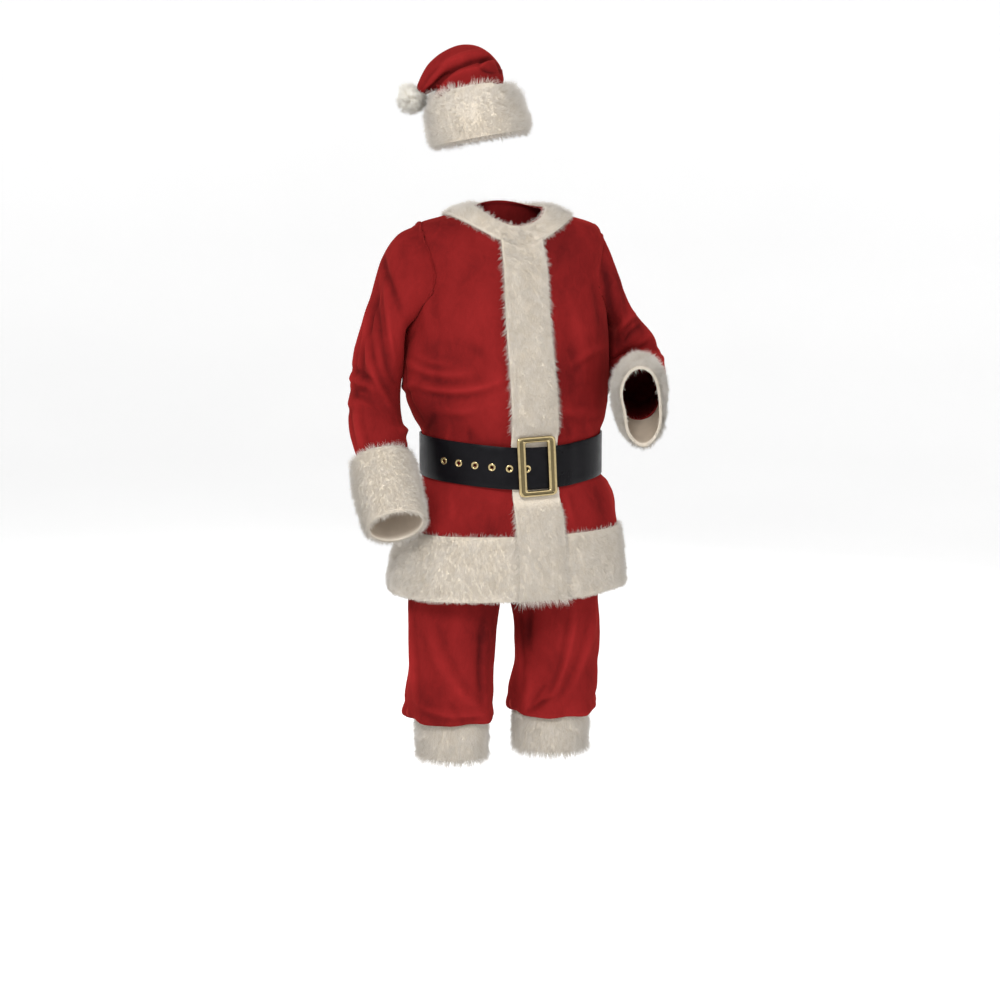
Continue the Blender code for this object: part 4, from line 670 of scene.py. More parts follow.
def material_named(name, maker, *inputs):
    """A material, made once."""
    return bpy.data.materials.get(name) or maker(*inputs)


# ---- Shaping ----
def smooth(value, low, high):
    """0 below low, 1 above high, and a soft step between; for numbers and arrays."""
    share = np.clip((value - low) / (high - low), 0.0, 1.0)
    return share * share * (3.0 - 2.0 * share)


def within(value, low, full, fading, high):
    """1 from full to fading, 0 below low and above high, and soft steps between them."""
    return smooth(value, low, full) * (1.0 - smooth(value, fading, high))


def mesh_of(built, name):
    """A new mesh with what was built in a bmesh."""
    mesh = bpy.data.meshes.new(name)
    built.to_mesh(mesh)
    built.free()
    return mesh


def move_points(mesh, points):
    """Put a mesh's points where an array says."""
    mesh.vertices.foreach_set("co", points.ravel())
    mesh.update()


def merged_copy(node):
    """A bmesh of a solid with its loose triangles joined to each other."""
    built = bmesh.new()
    built.from_mesh(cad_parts[node].data)
    bmesh.ops.remove_doubles(built, verts=built.verts, dist=0.00002)
    return built


def sides_of(built):
    """The faces of a solid in groups that sharp edges part, the largest group first."""
    waiting = set(built.faces)
    groups = []
    while waiting:
        group = [waiting.pop()]
        for face in group:
            for edge in face.edges:
                if len(edge.link_faces) != 2 or edge.calc_face_angle() > RIM_ANGLE:
                    continue
                for beside in edge.link_faces:
                    if beside in waiting:
                        waiting.discard(beside)
                        group.append(beside)
        groups.append(group)
    return sorted(groups, key=lambda group: -sum(face.calc_area() for face in group))


def in_quads(built):
    """Join pairs of triangles, so that the faces split evenly."""
    bmesh.ops.join_triangles(built, faces=built.faces, angle_face_threshold=math.radians(60.0),
                             angle_shape_threshold=math.radians(80.0))


def add_piece(name, mesh, *materials):
    """Link a mesh to the scene as a piece of the suit."""
    for material in materials:
        mesh.materials.append(material)
    mesh.shade_smooth()
    piece = bpy.data.objects.new(name, mesh)
    bpy.context.scene.collection.objects.link(piece)
    return piece


def settled(piece):
    """Make a piece's modifiers part of its mesh."""
    graph = bpy.context.evaluated_depsgraph_get()
    mesh = bpy.data.meshes.new_from_object(piece.evaluated_get(graph))
    old = piece.data
    piece.modifiers.clear()
    piece.data = mesh
    mesh.name = piece.name
    bpy.data.meshes.remove(old)
    return piece


def split_finer(built, name, times, *materials):
    """A mesh whose faces are split and rounded several times."""
    rough = add_piece(name, mesh_of(built, name), *materials)
    rounding = rough.modifiers.new("rounding", "SUBSURF")
    rounding.levels = times
    rounding.render_levels = times
    rounding.boundary_smooth = "PRESERVE_CORNERS"
    settled(rough)
    finer = rough.data
    bpy.data.objects.remove(rough)
    return finer


def points_and_normals(mesh):
    """A mesh's points and outward directions as arrays."""
    count = len(mesh.vertices)
    points = np.empty(count * 3)
    normals = np.empty(count * 3)
    mesh.vertices.foreach_get("co", points)
    mesh.vertices.foreach_get("normal", normals)
    return points.reshape(count, 3), normals.reshape(count, 3)


def fold_line(fold, steps=16):
    """Points along a fold's line in its view."""
    start = np.array((fold.across0, fold.up0))
    end = np.array((fold.across1, fold.up1))
    along = end - start
    right = np.array((along[1], -along[0])) / np.hypot(*along)
    middle = (start + end) / 2.0 + right * 2.0 * fold.bow
    share = np.linspace(0.0, 1.0, steps)[:, None]
    return (1 - share) ** 2 * start + 2 * share * (1 - share) * middle + share ** 2 * end


def fold_height(fold, points, normals):
    """How far one fold lifts each point."""
    turn = math.radians(fold.turn)
    flat = np.stack((points[:, 0] * math.cos(turn) + points[:, 1] * math.sin(turn), points[:, 2]), axis=1)
    facing = normals[:, 0] * math.sin(turn) - normals[:, 1] * math.cos(turn)
    line = fold_line(fold)
    steps = np.diff(line, axis=0)
    apart = flat[:, None, :] - line[None, :-1, :]
    along = np.clip((apart * steps).sum(axis=2) / (steps ** 2).sum(axis=1), 0.0, 1.0)
    offset = apart - along[:, :, None] * steps
    distance = np.linalg.norm(offset, axis=2)
    nearest = distance.argmin(axis=1)
    rows = np.arange(len(points))
    gap = distance[rows, nearest] / FOLD_NARROWER
    share = (nearest + along[rows, nearest]) / len(steps)
    ridge = np.exp(-(gap / fold.width) ** 2)
    if fold.beside:
        away = offset[rows, nearest]
        side = np.sign(steps[nearest, 0] * away[:, 1] - steps[nearest, 1] * away[:, 0])
        signed = gap * side * fold.beside
        ridge -= BESIDE_DEPTH * np.exp(-((signed - BESIDE_AWAY * fold.width) / fold.width) ** 2)
    ends = np.sin(math.pi * np.clip(share, 0.01, 0.99)) ** 0.6
    beyond = np.exp(-(gap / (2.5 * fold.width)) ** 4)
    return fold.rise * ridge * ends * beyond * smooth(facing, 0.0, 0.4)


def seam_edges(mesh):
    """The points on a mesh's open edges."""
    uses = {}
    for polygon in mesh.polygons:
        for key in polygon.edge_keys:
            uses[key] = uses.get(key, 0) + 1
    return sorted({point for key, times in uses.items() if times == 1 for point in key})


def folded(mesh, folds, height):
    """How far all the folds together lift each point of a mesh."""
    points, normals = points_and_normals(mesh)
    lift = np.zeros(len(points))
    for fold in folds:
        lift += fold_height(fold, points, normals) * height
    return lift


def split_near_folds(mesh, folds, height, least=0.0005):
    """Split the faces where folds lie once more."""
    lift = np.abs(folded(mesh, folds, height))
    built = bmesh.new()
    built.from_mesh(mesh)
    edges = [edge for edge in built.edges if max(lift[end.index] for end in edge.verts) > least]
    bmesh.ops.subdivide_edges(built, edges=edges, cuts=1, use_grid_fill=True)
    built.to_mesh(mesh)
    built.free()


def lay_folds(mesh, folds, height, seam_depth=0.0012, seam_width=0.007, sag=0.0016):
    """Raise the folds, draw the seams in and make the cloth a little uneven."""
    points, normals = points_and_normals(mesh)
    lift = folded(mesh, folds, height)
    # the fold attribute is painted shade and painted highlight: dark where a fold sinks, light where it
    # rises
    shade = mesh.attributes.new("fold", "FLOAT", "POINT")
    shade.data.foreach_set("value", np.clip(lift / FOLD_PAINTED_FULL_LIFT, -1.0, 1.0))
    lift += [sag * noise.noise(Vector(point) * 14.0) + 0.35 * sag * noise.noise(Vector(point) * 42.0)
             for point in points]
    edge = points[seam_edges(mesh)]
    nearest = np.array([np.sqrt(((edge - point) ** 2).sum(axis=1).min()) for point in points])
    lift *= 0.35 + 0.65 * smooth(nearest, 0.0, 2.0 * seam_width)
    lift -= seam_depth * (1.0 - smooth(nearest, 0.0, seam_width))
    move_points(mesh, points + normals * lift[:, None])


def add_seam_allowance(mesh, node, body, wide=0.007, under=0.0022):
    """Carry the cloth on past its seams, a little under what it is sewn to, and turn the legs' hems in."""
    built = bmesh.new()
    built.from_mesh(mesh)
    built.normal_update()
    edges = [edge for edge in built.edges if edge.is_boundary]
    outward = {}
    for vert in {end for edge in edges for end in edge.verts}:
        middle = sum((face.calc_center_median() for face in vert.link_faces), Vector())
        away = vert.co - middle / len(vert.link_faces)
        outward[vert] = ((away - vert.normal * away.dot(vert.normal)).normalized(), vert.normal.copy())
    grown = bmesh.ops.extrude_edge_only(built, edges=edges)["geom"]
    for vert in grown:
        if isinstance(vert, bmesh.types.BMVert):
            root = next(edge.other_vert(vert) for edge in vert.link_edges
                        if edge.other_vert(vert) in outward)
            away, normal = outward[root]
            if node.startswith("trouser") and root.co.z < LEG_HEM:
                vert.co = root.co + away * LEG_HEM_OUT - normal * LEG_HEM_TURNED
            elif node.startswith("sleeve") and root.co.z > ARMHOLE_LOWEST:
                place, up = nearest_on(body, root.co + away * 2.0 * wide)
                vert.co = place - up * 1.5 * under
            else:
                vert.co = root.co + away * wide - normal * under
    bmesh.ops.recalc_face_normals(built, faces=built.faces)
    built.to_mesh(mesh)
    built.free()


def shape_shoulders(points):
    """Square the shoulders and let the left elbow stand out."""
    x, _, z = points.T
    right = smooth(-x, *RIGHT_SHOULDER_ASIDE) * smooth(z, *RIGHT_SHOULDER_HEIGHTS)
    left = smooth(x, *LEFT_SHOULDER_ASIDE) * smooth(z, *LEFT_SHOULDER_HEIGHTS)
    elbow = within(z, *ELBOW_HEIGHTS)
    x += SHOULDERS_OUT * (left - right) + ELBOW_OUT * elbow * smooth(x, *ELBOW_ASIDE)
    z += RIGHT_SHOULDER_UP * right + LEFT_SHOULDER_UP * left


def shape_jacket(points):
    """Let the skirt and hem stand out at the sides, the front hang to the left and the side bulge."""
    shape_shoulders(points)
    x, y, z = points.T
    low = smooth(-z, FLARE_FROM, FLARE_WIDEST)
    hem = smooth(-z, FLARE_WIDEST, FLARE_LOWEST)
    left = smooth(x, *FLARE_ASIDE)
    right = smooth(-x, *FLARE_ASIDE)
    x += FLARE * low * (left * (1.0 - 0.6 * hem) - 0.6 * right * (0.4 + 0.6 * hem))
    ahead = smooth(-y, *LEAN_AHEAD) * (1.0 - smooth(np.abs(x), *LEAN_FADES))
    x += FRONT_LEAN * smooth(-z, *LEAN_DEPTHS) * ahead
    x -= SIDE_BULGE * within(-z, *SIDE_BULGE_DEPTHS) * smooth(-x, *SIDE_BULGE_ASIDE)
    x += SKIRT_PUFF * within(-z, *SKIRT_PUFF_DEPTHS) * smooth(x, *SKIRT_PUFF_ASIDE)
    z += HEM_LIFT * smooth(-z, *HEM_LIFT_DEPTHS) * smooth(x, *HEM_LIFT_ASIDE)


def shape_leg(points):
    """Draw the legs' inner sides apart and let their outer sides hang a little outwards."""
    x, _, z = points.T
    low = smooth(-z, *INNER_DEPTHS)
    cuff = smooth(-z, *LEG_CUFF_DEPTHS)
    inner = smooth(LEG_AXIS_X - np.abs(x), *INNER_ASIDE)
    left = x > 0.0
    x += INNER_LEFT * low * inner * left * (1.0 - 0.8 * smooth(-z, *INNER_FADES))
    x -= INNER_RIGHT * low * inner * ~left
    outer = smooth(-x, *OUTER_ASIDE) * smooth(-z, *OUTER_RIGHT_DEPTHS)
    x -= OUTER_RIGHT * outer * (1.0 - cuff)
    outer = smooth(x, *OUTER_ASIDE) * smooth(-z, *OUTER_LEFT_DEPTHS)
    x += OUTER_LEFT * outer * (1.0 - 0.5 * cuff)


def shape_brim(points):
    """Puff the brim, round its upper edge, widen it over the right ear and draw it in at the left."""
    x, y, z = points.T
    turn = math.radians(CAP_TURN)
    across = (x - CAP_X) * math.cos(turn) + y * math.sin(turn)
    ahead = y * math.cos(turn) - (x - CAP_X) * math.sin(turn)
    level = (z - BRIM_LOW - across * math.tan(math.radians(CAP_TILT))) / BRIM_HIGH
    height = np.clip(level, 0.0, 1.0)
    right = smooth(-across, *BRIM_RIGHT)
    left = smooth(across, *BRIM_LEFT)
    rounded = BRIM_ROUND * smooth(level, *BRIM_ROUND_LEVELS) * (1.0 + 0.8 * left)
    share = 1.0 + BRIM_PUFF * np.sin(math.pi * height) - rounded
    across = across * share - BRIM_WIDER * right * (1.0 - 0.55 * height)
    across -= BRIM_DRAWN_IN * left * smooth(level, *BRIM_DRAWN_LEVELS)
    ahead = ahead * share
    x[:] = CAP_X + across * math.cos(turn) - ahead * math.sin(turn)
    y[:] = across * math.sin(turn) + ahead * math.cos(turn)
    z -= BRIM_TOP_DROP * smooth(level, *BRIM_DROP_LEVELS) * np.maximum(right, BRIM_LEFT_DROP * left)


def shape_crown(points):
    """Let the crown's left side drop straight to the brim and its tail hang low."""
    x, y, z = points.T
    turn = math.radians(CAMERA_TURN)
    across = x * math.cos(turn) + y * math.sin(turn)
    back = np.maximum(across - CROWN_LEFT, 0.0) * CROWN_DRAWN_IN * within(z, *CROWN_LEFT_HEIGHTS)
    x -= back * math.cos(turn)
    y -= back * math.sin(turn)
    tail = smooth(-across, *TAIL_ASIDE) * (1.0 - smooth(z, *TAIL_HEIGHTS))
    z -= TAIL_DROP * tail
    x -= 0.4 * TAIL_DROP * tail


def shape_cuff(points):
    """Round the drooping lower side of the left sleeve's cuff and let its mouth hang to the left."""
    x, y, z = points.T
    middle = (x.min() + x.max()) / 2.0
    low = (z.max() - z) / np.ptp(z)
    x[:] = middle + (x - middle) * (1.0 + CUFF_ROUND * smooth(low, *CUFF_ROUND_LEVELS))
    mouth = smooth((y.max() - y) / np.ptp(y), *CUFF_MOUTH)
    x += CUFF_LEAN * smooth(low, *CUFF_LEAN_LEVELS) * mouth


def shape_right_cuff(points):
    """Let the right sleeve's cuff stand out from the arm."""
    x, _, z = points.T
    middle = (x.min() + x.max()) / 2.0
    outer = smooth(middle - x, *CUFF_OUTER)
    high = smooth(z, z.min(), z.max())
    x -= CUFF_STANDS_OUT * outer * (0.65 + 0.35 * high)


def shape_pompom(points):
    """Let the pompom hang with the tail."""
    points[:, 2] -= POMPOM_DROP


def close_gaps(points, node):
    """Carry the ends of the plush pieces a little into the piece that they meet."""
    x, y, z = points.T
    ahead = smooth(-y, *BAND_AHEAD)
    if node == "hem_band":
        right = smooth(x, END_FROM[0], BAND_EDGES[0] - END_PAST_EDGE) * (x < 0.0)
        left = (1.0 - smooth(x, BAND_EDGES[1] + END_PAST_EDGE, END_FROM[1])) * (x > 0.0)
        x += END_OVERLAP * ahead * (right - left)
    elif node == "collar":
        middle = 1.0 - smooth(np.abs(x), *COLLAR_ENDS)
        x -= COLLAR_OVERLAP * ahead * middle * np.sign(x)
    elif node == "front_band":
        z += BAND_UNDER_COLLAR * smooth(z, *BAND_TOP_HEIGHTS)


SHAPED = {
    "jacket": shape_jacket,
    "sleeve_right": shape_shoulders,
    "sleeve_left": shape_shoulders,
    "hat_pompom": shape_pompom,
    "front_band": shape_jacket,
    "hem_band": shape_jacket,
    "trouser": shape_leg,
    "hat_brim": shape_brim,
    "hat_crown": shape_crown,
    "sleeve_cuff_left": shape_cuff,
    "sleeve_cuff_right": shape_right_cuff,
}


def shaped(points, node):
    """Change an array of a piece's points as its part of the suit asks."""
    for start, change in SHAPED.items():
        if node.startswith(start):
            change(points)


def reshape(mesh, node):
    """Shape a piece's mesh for its part of the suit."""
    points, _ = points_and_normals(mesh)
    shaped(points, node)
    move_points(mesh, points)


def evened(mesh, values, rounds=6):
    """Each point's value averaged with its neighbours', again and again."""
    edges = np.array([tuple(edge.vertices) for edge in mesh.edges])
    count = np.bincount(edges.ravel(), minlength=len(values))[:, None]
    for _ in range(rounds):
        total = np.zeros_like(values)
        np.add.at(total, edges[:, 0], values[edges[:, 1]])
        np.add.at(total, edges[:, 1], values[edges[:, 0]])
        values = 0.5 * values + 0.5 * total / count
    return values


def jacket_surface():
    """The outer faces of the jacket's panels, to look for the nearest place on."""
    body = []
    for panel in PANELS["jacket"]:
        worn = bpy.data.objects[f"{panel.node}_velvet"].data
        outer = [tuple(face.vertices) for face in worn.polygons
                 if face.normal.dot(face.center - Vector(CHEST)) > FACING_OUT * face.center.length]
        body.append(BVHTree.FromPolygons([vertex.co for vertex in worn.vertices], outer))
    return body


def nearest_on(body, point):
    """The nearest place on the jacket's outer face, and its outward direction."""
    return min((tree.find_nearest(point) for tree in body), key=lambda hit: hit[3])[:2]


def seat_sleeve(mesh, body, reach=0.036, sunk=0.0012):
    """Draw a sleeve's head down onto the jacket round its armhole."""
    points, _ = points_and_normals(mesh)
    edge = points[seam_edges(mesh)]
    head = edge[edge[:, 2] > ARMHOLE_LOWEST]
    shift = np.zeros_like(points)
    share = np.zeros((len(points), 1))
    for number, point in enumerate(points):
        gap = math.sqrt(((head - point) ** 2).sum(axis=1).min())
        if gap < 1.8 * reach:
            share[number] = 1.0 - smooth(gap, 0.0, reach)
            aim = Vector(point) - Vector((math.copysign(HEAD_OVERLAP, point[0]), 0.0, 0.0))
            place, up = nearest_on(body, aim)
            shift[number] = np.array(place + up * sunk) - point
    points += evened(mesh, shift) * share
    for number in np.flatnonzero(share > 0.4):
        place, up = nearest_on(body, Vector(points[number]))
        hold = float(smooth(share[number, 0], 0.4, 0.9))
        points[number] = np.array(Vector(points[number]).lerp(place + up * sunk, hold))
    move_points(mesh, points)


def puff_leg(mesh, node):
    """Let a trouser leg blouse out over the top of its cuff."""
    points, _ = points_and_normals(mesh)
    axis_x = LEG_AXIS_X if node.endswith("left") else -LEG_AXIS_X
    outward = points[:, :2] - np.array((axis_x, 0.0))
    radius = np.linalg.norm(outward, axis=1)
    low = smooth(-points[:, 2], PUFF_FROM, PUFF_WIDEST)
    angle = np.arctan2(outward[:, 1], outward[:, 0])
    lowest = smooth(-points[:, 2], PUFF_WIDEST, PUFF_LOWEST)
    uneven = 1.0 + 0.25 * np.sin(5.0 * angle + 0.7) + 0.15 * np.sin(9.0 * angle)
    inner = smooth(-outward[:, 0] * math.copysign(1.0, axis_x), *PUFF_INSIDE)
    push = (PUFF * low + PUFF_AT_EDGE * lowest) * uneven * (1.0 - PUFF_LESS_INSIDE * inner)
    points[:, :2] += outward / radius[:, None] * push[:, None]
    points[:, 2] -= PUFF_DROP * lowest * (0.4 + 0.6 * uneven)
    move_points(mesh, points)


def add_velvet(context, panel):
    """One velvet piece: the outer face of its solid, with its folds, as thin cloth."""
    settings = context.scene.suit
    skin = merged_copy(panel.node)
    outer = set(sides_of(skin)[0])
    bmesh.ops.delete(skin, geom=[face for face in skin.faces if face not in outer], context="FACES")
    in_quads(skin)
    mesh = split_finer(skin, f"{panel.node}_velvet", settings.fineness,
                       material_named("crushed velvet", velvet_material, settings))
    if panel.folds:
        split_near_folds(mesh, panel.folds, settings.fold_height)
    lay_folds(mesh, panel.folds, settings.fold_height)
    reshape(mesh, panel.node)
    body = None
    if panel.node.startswith("sleeve"):
        body = jacket_surface()
        seat_sleeve(mesh, body)
    elif panel.node.startswith("trouser"):
        puff_leg(mesh, panel.node)
    add_seam_allowance(mesh, panel.node, body)
    piece = add_piece(f"{panel.node}_velvet", mesh)
    wall = piece.modifiers.new("cloth", "SOLIDIFY")
    wall.thickness = settings.cloth
    wall.offset = -1.0
    settled(piece)
    piece.data.shade_smooth()
    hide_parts(panel.node)
    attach(piece, "root")
    return piece


# ---- Plush ----
def strand_tree():
    """Geometry nodes that grow combed, tapering strands on a surface."""
    tree = bpy.data.node_groups.get("plush strands")
    if tree:
        return tree
    tree = bpy.data.node_groups.new("plush strands", "GeometryNodeTree")
    tree.is_modifier = True
    tree.interface.new_socket("Geometry", in_out="INPUT", socket_type="NodeSocketGeometry")
    for name, kind in (("Density", "Float"), ("Length", "Float"), ("Root", "Float"),
                       ("Brushed", "Vector"), ("Seed", "Int")):
        tree.interface.new_socket(name, in_out="INPUT", socket_type=f"NodeSocket{kind}")
    tree.interface.new_socket("Geometry", in_out="OUTPUT", socket_type="NodeSocketGeometry")
    given = tree.nodes.new("NodeGroupInput").outputs
    result = tree.nodes.new("NodeGroupOutput").inputs
    link = tree.links.new

    def vector_math(how, first, second=None, scale=None):
        node = tree.nodes.new("ShaderNodeVectorMath")
        node.operation = how
        link(first, node.inputs[0])
        if second is not None:
            give(tree, node.inputs[1], second)
        if scale is not None:
            give(tree, node.inputs["Scale"], scale)
        return node.outputs["Value" if how == "DOT_PRODUCT" else "Vector"]

    def number_math(how, first, second):
        node = tree.nodes.new("ShaderNodeMath")
        node.operation = how
        link(first, node.inputs[0])
        link(second, node.inputs[1])
        return node.outputs["Value"]

    def random_value(kind, low, high, seed):
        node = node_of(tree, "FunctionNodeRandomValue", Seed=seed)
        node.data_type = kind
        least, most, drawn = {"FLOAT": (2, 3, 1), "FLOAT_VECTOR": (0, 1, 0)}[kind]
        node.inputs[least].default_value = low
        node.inputs[most].default_value = high
        return node.outputs[drawn]

    def stored(geometry, name, kind, value):
        node = node_of(tree, "GeometryNodeStoreNamedAttribute", Name=name)
        node.data_type = kind
        link(geometry, node.inputs["Geometry"])
        link(value, node.inputs["Value"])
        return node.outputs["Geometry"]

    scatter = tree.nodes.new("GeometryNodeDistributePointsOnFaces")
    link(given["Geometry"], scatter.inputs["Mesh"])
    link(given["Density"], scatter.inputs["Density"])
    link(given["Seed"], scatter.inputs["Seed"])

    place = tree.nodes.new("GeometryNodeInputPosition").outputs["Position"]
    lean = None
    for scale, strength in SWIRLS:
        cloud = node_of(tree, "ShaderNodeTexNoise", Scale=scale, Detail=1.0)
        link(place, cloud.inputs["Vector"])
        swirl = vector_math("SCALE", vector_math("SUBTRACT", cloud.outputs["Color"], (0.5, 0.5, 0.5)),
                            scale=strength)
        lean = swirl if lean is None else vector_math("ADD", lean, swirl)
    locks = node_of(tree, "ShaderNodeTexVoronoi", Scale=LOCKS_PER_METRE)
    link(place, locks.inputs["Vector"])
    gather = vector_math("SCALE", vector_math("SUBTRACT", locks.outputs["Position"], place),
                         scale=LOCK_PULL)
    lean = vector_math("ADD", lean, gather)
    fray = vector_math("SCALE", random_value("FLOAT_VECTOR", (-1, -1, -1), (1, 1, 1), 3), scale=FRAY)
    # the brushing lies along the backing, so that strands at an edge stand out from it
    out = scatter.outputs["Normal"]
    across = vector_math("PROJECT", given["Brushed"], out)
    brushed = vector_math("SUBTRACT", given["Brushed"], across)
    direction = vector_math("ADD", vector_math("ADD", out, brushed), vector_math("ADD", lean, fray))
    # no strand points back into the backing
    lack = tree.nodes.new("ShaderNodeMath")
    lack.operation = "SUBTRACT"
    lack.use_clamp = True
    lack.inputs[0].default_value = LEAST_STEEP
    link(vector_math("DOT_PRODUCT", direction, out), lack.inputs[1])
    direction = vector_math("ADD", direction, vector_math("SCALE", out, scale=lack.outputs["Value"]))

    aim = tree.nodes.new("FunctionNodeAlignRotationToVector")
    aim.axis = "Z"
    link(direction, aim.inputs["Vector"])

    spread = node_of(tree, "GeometryNodeInputNamedAttribute", Name="length")
    spread.data_type = "FLOAT"
    long = number_math("MULTIPLY", given["Length"], random_value("FLOAT", *STRAND_LENGTHS, 5))
    long = number_math("MULTIPLY", long, spread.outputs[0])
    size = tree.nodes.new("ShaderNodeCombineXYZ")
    link(given["Root"], size.inputs["X"])
    link(given["Root"], size.inputs["Y"])
    link(long, size.inputs["Z"])

    strand = node_of(tree, "GeometryNodeMeshCone", Vertices=3, Radius_Top=0.0, Radius_Bottom=1.0,
                     Depth=1.0)
    strand.fill_type = "NONE"
    height = tree.nodes.new("ShaderNodeSeparateXYZ")
    link(place, height.inputs["Vector"])

    grow = tree.nodes.new("GeometryNodeInstanceOnPoints")
    link(stored(scatter.outputs["Points"], "skin", "FLOAT_VECTOR", out), grow.inputs["Points"])
    # the tip attribute lets the material paint shade at the strands' roots
    link(stored(strand.outputs["Mesh"], "tip", "FLOAT", height.outputs["Z"]), grow.inputs["Instance"])
    link(aim.outputs["Rotation"], grow.inputs["Rotation"])
    link(size.outputs["Vector"], grow.inputs["Scale"])
    realize = tree.nodes.new("GeometryNodeRealizeInstances")
    link(grow.outputs["Instances"], realize.inputs["Geometry"])
    link(realize.outputs["Geometry"], result["Geometry"])
    return tree


def backing_of(plush, *materials):
    """A plush piece's backing: its solid with the pile's side drawn in towards the lining."""
    solid = merged_copy(plush.node)
    groups = sides_of(solid)
    if len(groups) > 1:
        for face in groups[1]:
            face.material_index = 1
    in_quads(solid)
    crease = solid.edges.layers.float.new("crease_edge")
    for edge in solid.edges:
        if edge.calc_face_angle(0.0) > RIM_ANGLE:
            edge[crease] = RIM_CREASE
    mesh = split_finer(solid, f"{plush.node}_backing", 2, *materials)
    points, _ = points_and_normals(mesh)
    pile_side = [tuple(polygon.vertices) for polygon in mesh.polygons if polygon.material_index == 0]
    places = [Vector(point) for point in points]
    outer = BVHTree.FromPolygons(places, pile_side)
    away = np.array([outer.find_nearest(place)[3] for place in places])
    # this attribute paints shade on the lining, darker the further it lies from the pile's side
    deep = mesh.attributes.new("deep", "FLOAT", "POINT")
    deep.data.foreach_set("value", smooth(away, *LINING_DEEP))
    inside = [tuple(polygon.vertices) for polygon in mesh.polygons if polygon.material_index == 1]
    if inside:
        lining = BVHTree.FromPolygons(places, inside)
        kept = {number for polygon in inside for number in polygon}
        for number, place in enumerate(places):
            if number not in kept:
                points[number] = np.array(place.lerp(lining.find_nearest(place)[0], TRIM_SINK))
    else:
        middle = points.mean(axis=0)
        points = middle + (points - middle) * (1.0 - BALL_SINK)
    close_gaps(points, plush.node)
    shaped(points, plush.node)
    move_points(mesh, points)
    return mesh


def pile_lengths(plush, points):
    """The share of its full length that the pile has at each point."""
    x, _, z = points.T
    tufts = np.array([noise.noise(Vector(point) * TUFTS_PER_METRE) for point in points])
    lengths = 1.0 + TUFT_UNEVEN * tufts
    low = z.min()
    high = z.max()
    lower_edge = 1.0 - smooth(z, low + PILE_EDGE[0], low + PILE_EDGE[1])
    if plush.node == "front_band":
        pressed = within(z, BELTED_FROM - BELTED_FADE, BELTED_FROM, BELTED_TO, BELTED_TO + BELTED_FADE)
        lengths += BAND_RIGHT_LONGER * (1.0 - smooth(x, *BAND_RIGHT_EDGE))
        lengths *= 1.0 - (1.0 - BELTED_PILE) * pressed
        lengths += BAND_END_LONGER * lower_edge
    elif plush.node.startswith("trouser_cuff"):
        lengths += LEG_CUFF_LONGER * lower_edge
    elif plush.node == "hem_band":
        lengths -= HEM_SHORTER * lower_edge
    elif plush.node == "hat_brim":
        upper_edge = smooth(z, high - BRIM_TOP_EDGE[0], high - BRIM_TOP_EDGE[1])
        lengths += (BRIM_TOP_LONGER + tufts) * upper_edge
    return lengths


def add_plush(context, plush, seed):
    """One plush piece: its backing, and its pile of strands."""
    settings = context.scene.suit
    colour = settings.plush_white if plush.tone == "white" else settings.plush_cream
    under = material_named(f"{plush.tone} backing", plush_material, f"{plush.tone} backing", colour, False)
    lining = material_named("cream lining", lining_material, settings)
    backing = add_piece(f"{plush.node}_backing", backing_of(plush, under, lining))
    ground = bmesh.new()
    ground.from_mesh(backing.data)
    hidden = [face for face in ground.faces if face.material_index == 1]
    bmesh.ops.delete(ground, geom=hidden, context="FACES")
    mesh = mesh_of(ground, f"{plush.node}_pile")
    points, _ = points_and_normals(mesh)
    lengths = mesh.attributes.new("length", "FLOAT", "POINT")
    lengths.data.foreach_set("value", pile_lengths(plush, points))
    pile = add_piece(f"{plush.node}_pile", mesh)
    grown = pile.modifiers.new("strands", "NODES")
    grown.node_group = strand_tree()
    values = {"Density": float(plush.strands), "Length": plush.pile, "Root": settings.strand_width,
              "Brushed": plush.brushed, "Seed": seed}
    for socket in grown.node_group.interface.items_tree:
        if socket.in_out == "INPUT" and socket.name in values:
            grown[socket.identifier] = values[socket.name]
    settled(pile)
    pile.data.materials.clear()
    pile.data.materials.append(
        material_named(f"{plush.tone} plush", plush_material, f"{plush.tone} plush", colour, True))
    pile.data.shade_smooth()
    for piece in (backing, pile):
        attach(piece, "root")
    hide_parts(plush.node)
    return backing


# ---- The belt ----
def belt_outline(angle, out):
    """A point of the belt's middle line, at an angle round the waist and a distance off the velvet."""
    turn = math.radians(angle)
    facing_front = math.cos(turn) > 0.0
    depth = (BELT_FRONT if facing_front else BELT_BACK) + out
    half_width = BELT_HALF_WIDTH + out
    fore = abs(math.cos(turn)) / depth
    side = abs(math.sin(turn)) / half_width
    radius = (fore ** BODY_POWER + side ** BODY_POWER) ** (-1.0 / BODY_POWER)
    middle_z = BELT_FRONT_Z if facing_front else BELT_BACK_Z
    z = BELT_SIDE_Z * math.sin(turn) ** 2 + middle_z * math.cos(turn) ** 2
    return Vector((BELT_LEAN + radius * math.sin(turn), -radius * math.cos(turn), z))


def belt_lengths():
    """The length round the belt at each whole degree."""
    lengths = [0.0]
    for degree in range(1, 361):
        step = belt_outline(degree, 0.0) - belt_outline(degree - 1, 0.0)
        lengths.append(lengths[-1] + Vector((step.x, step.y)).length)
    return lengths


BELT_LENGTHS = belt_lengths()
BELT_GIRTH = BELT_LENGTHS[-1]


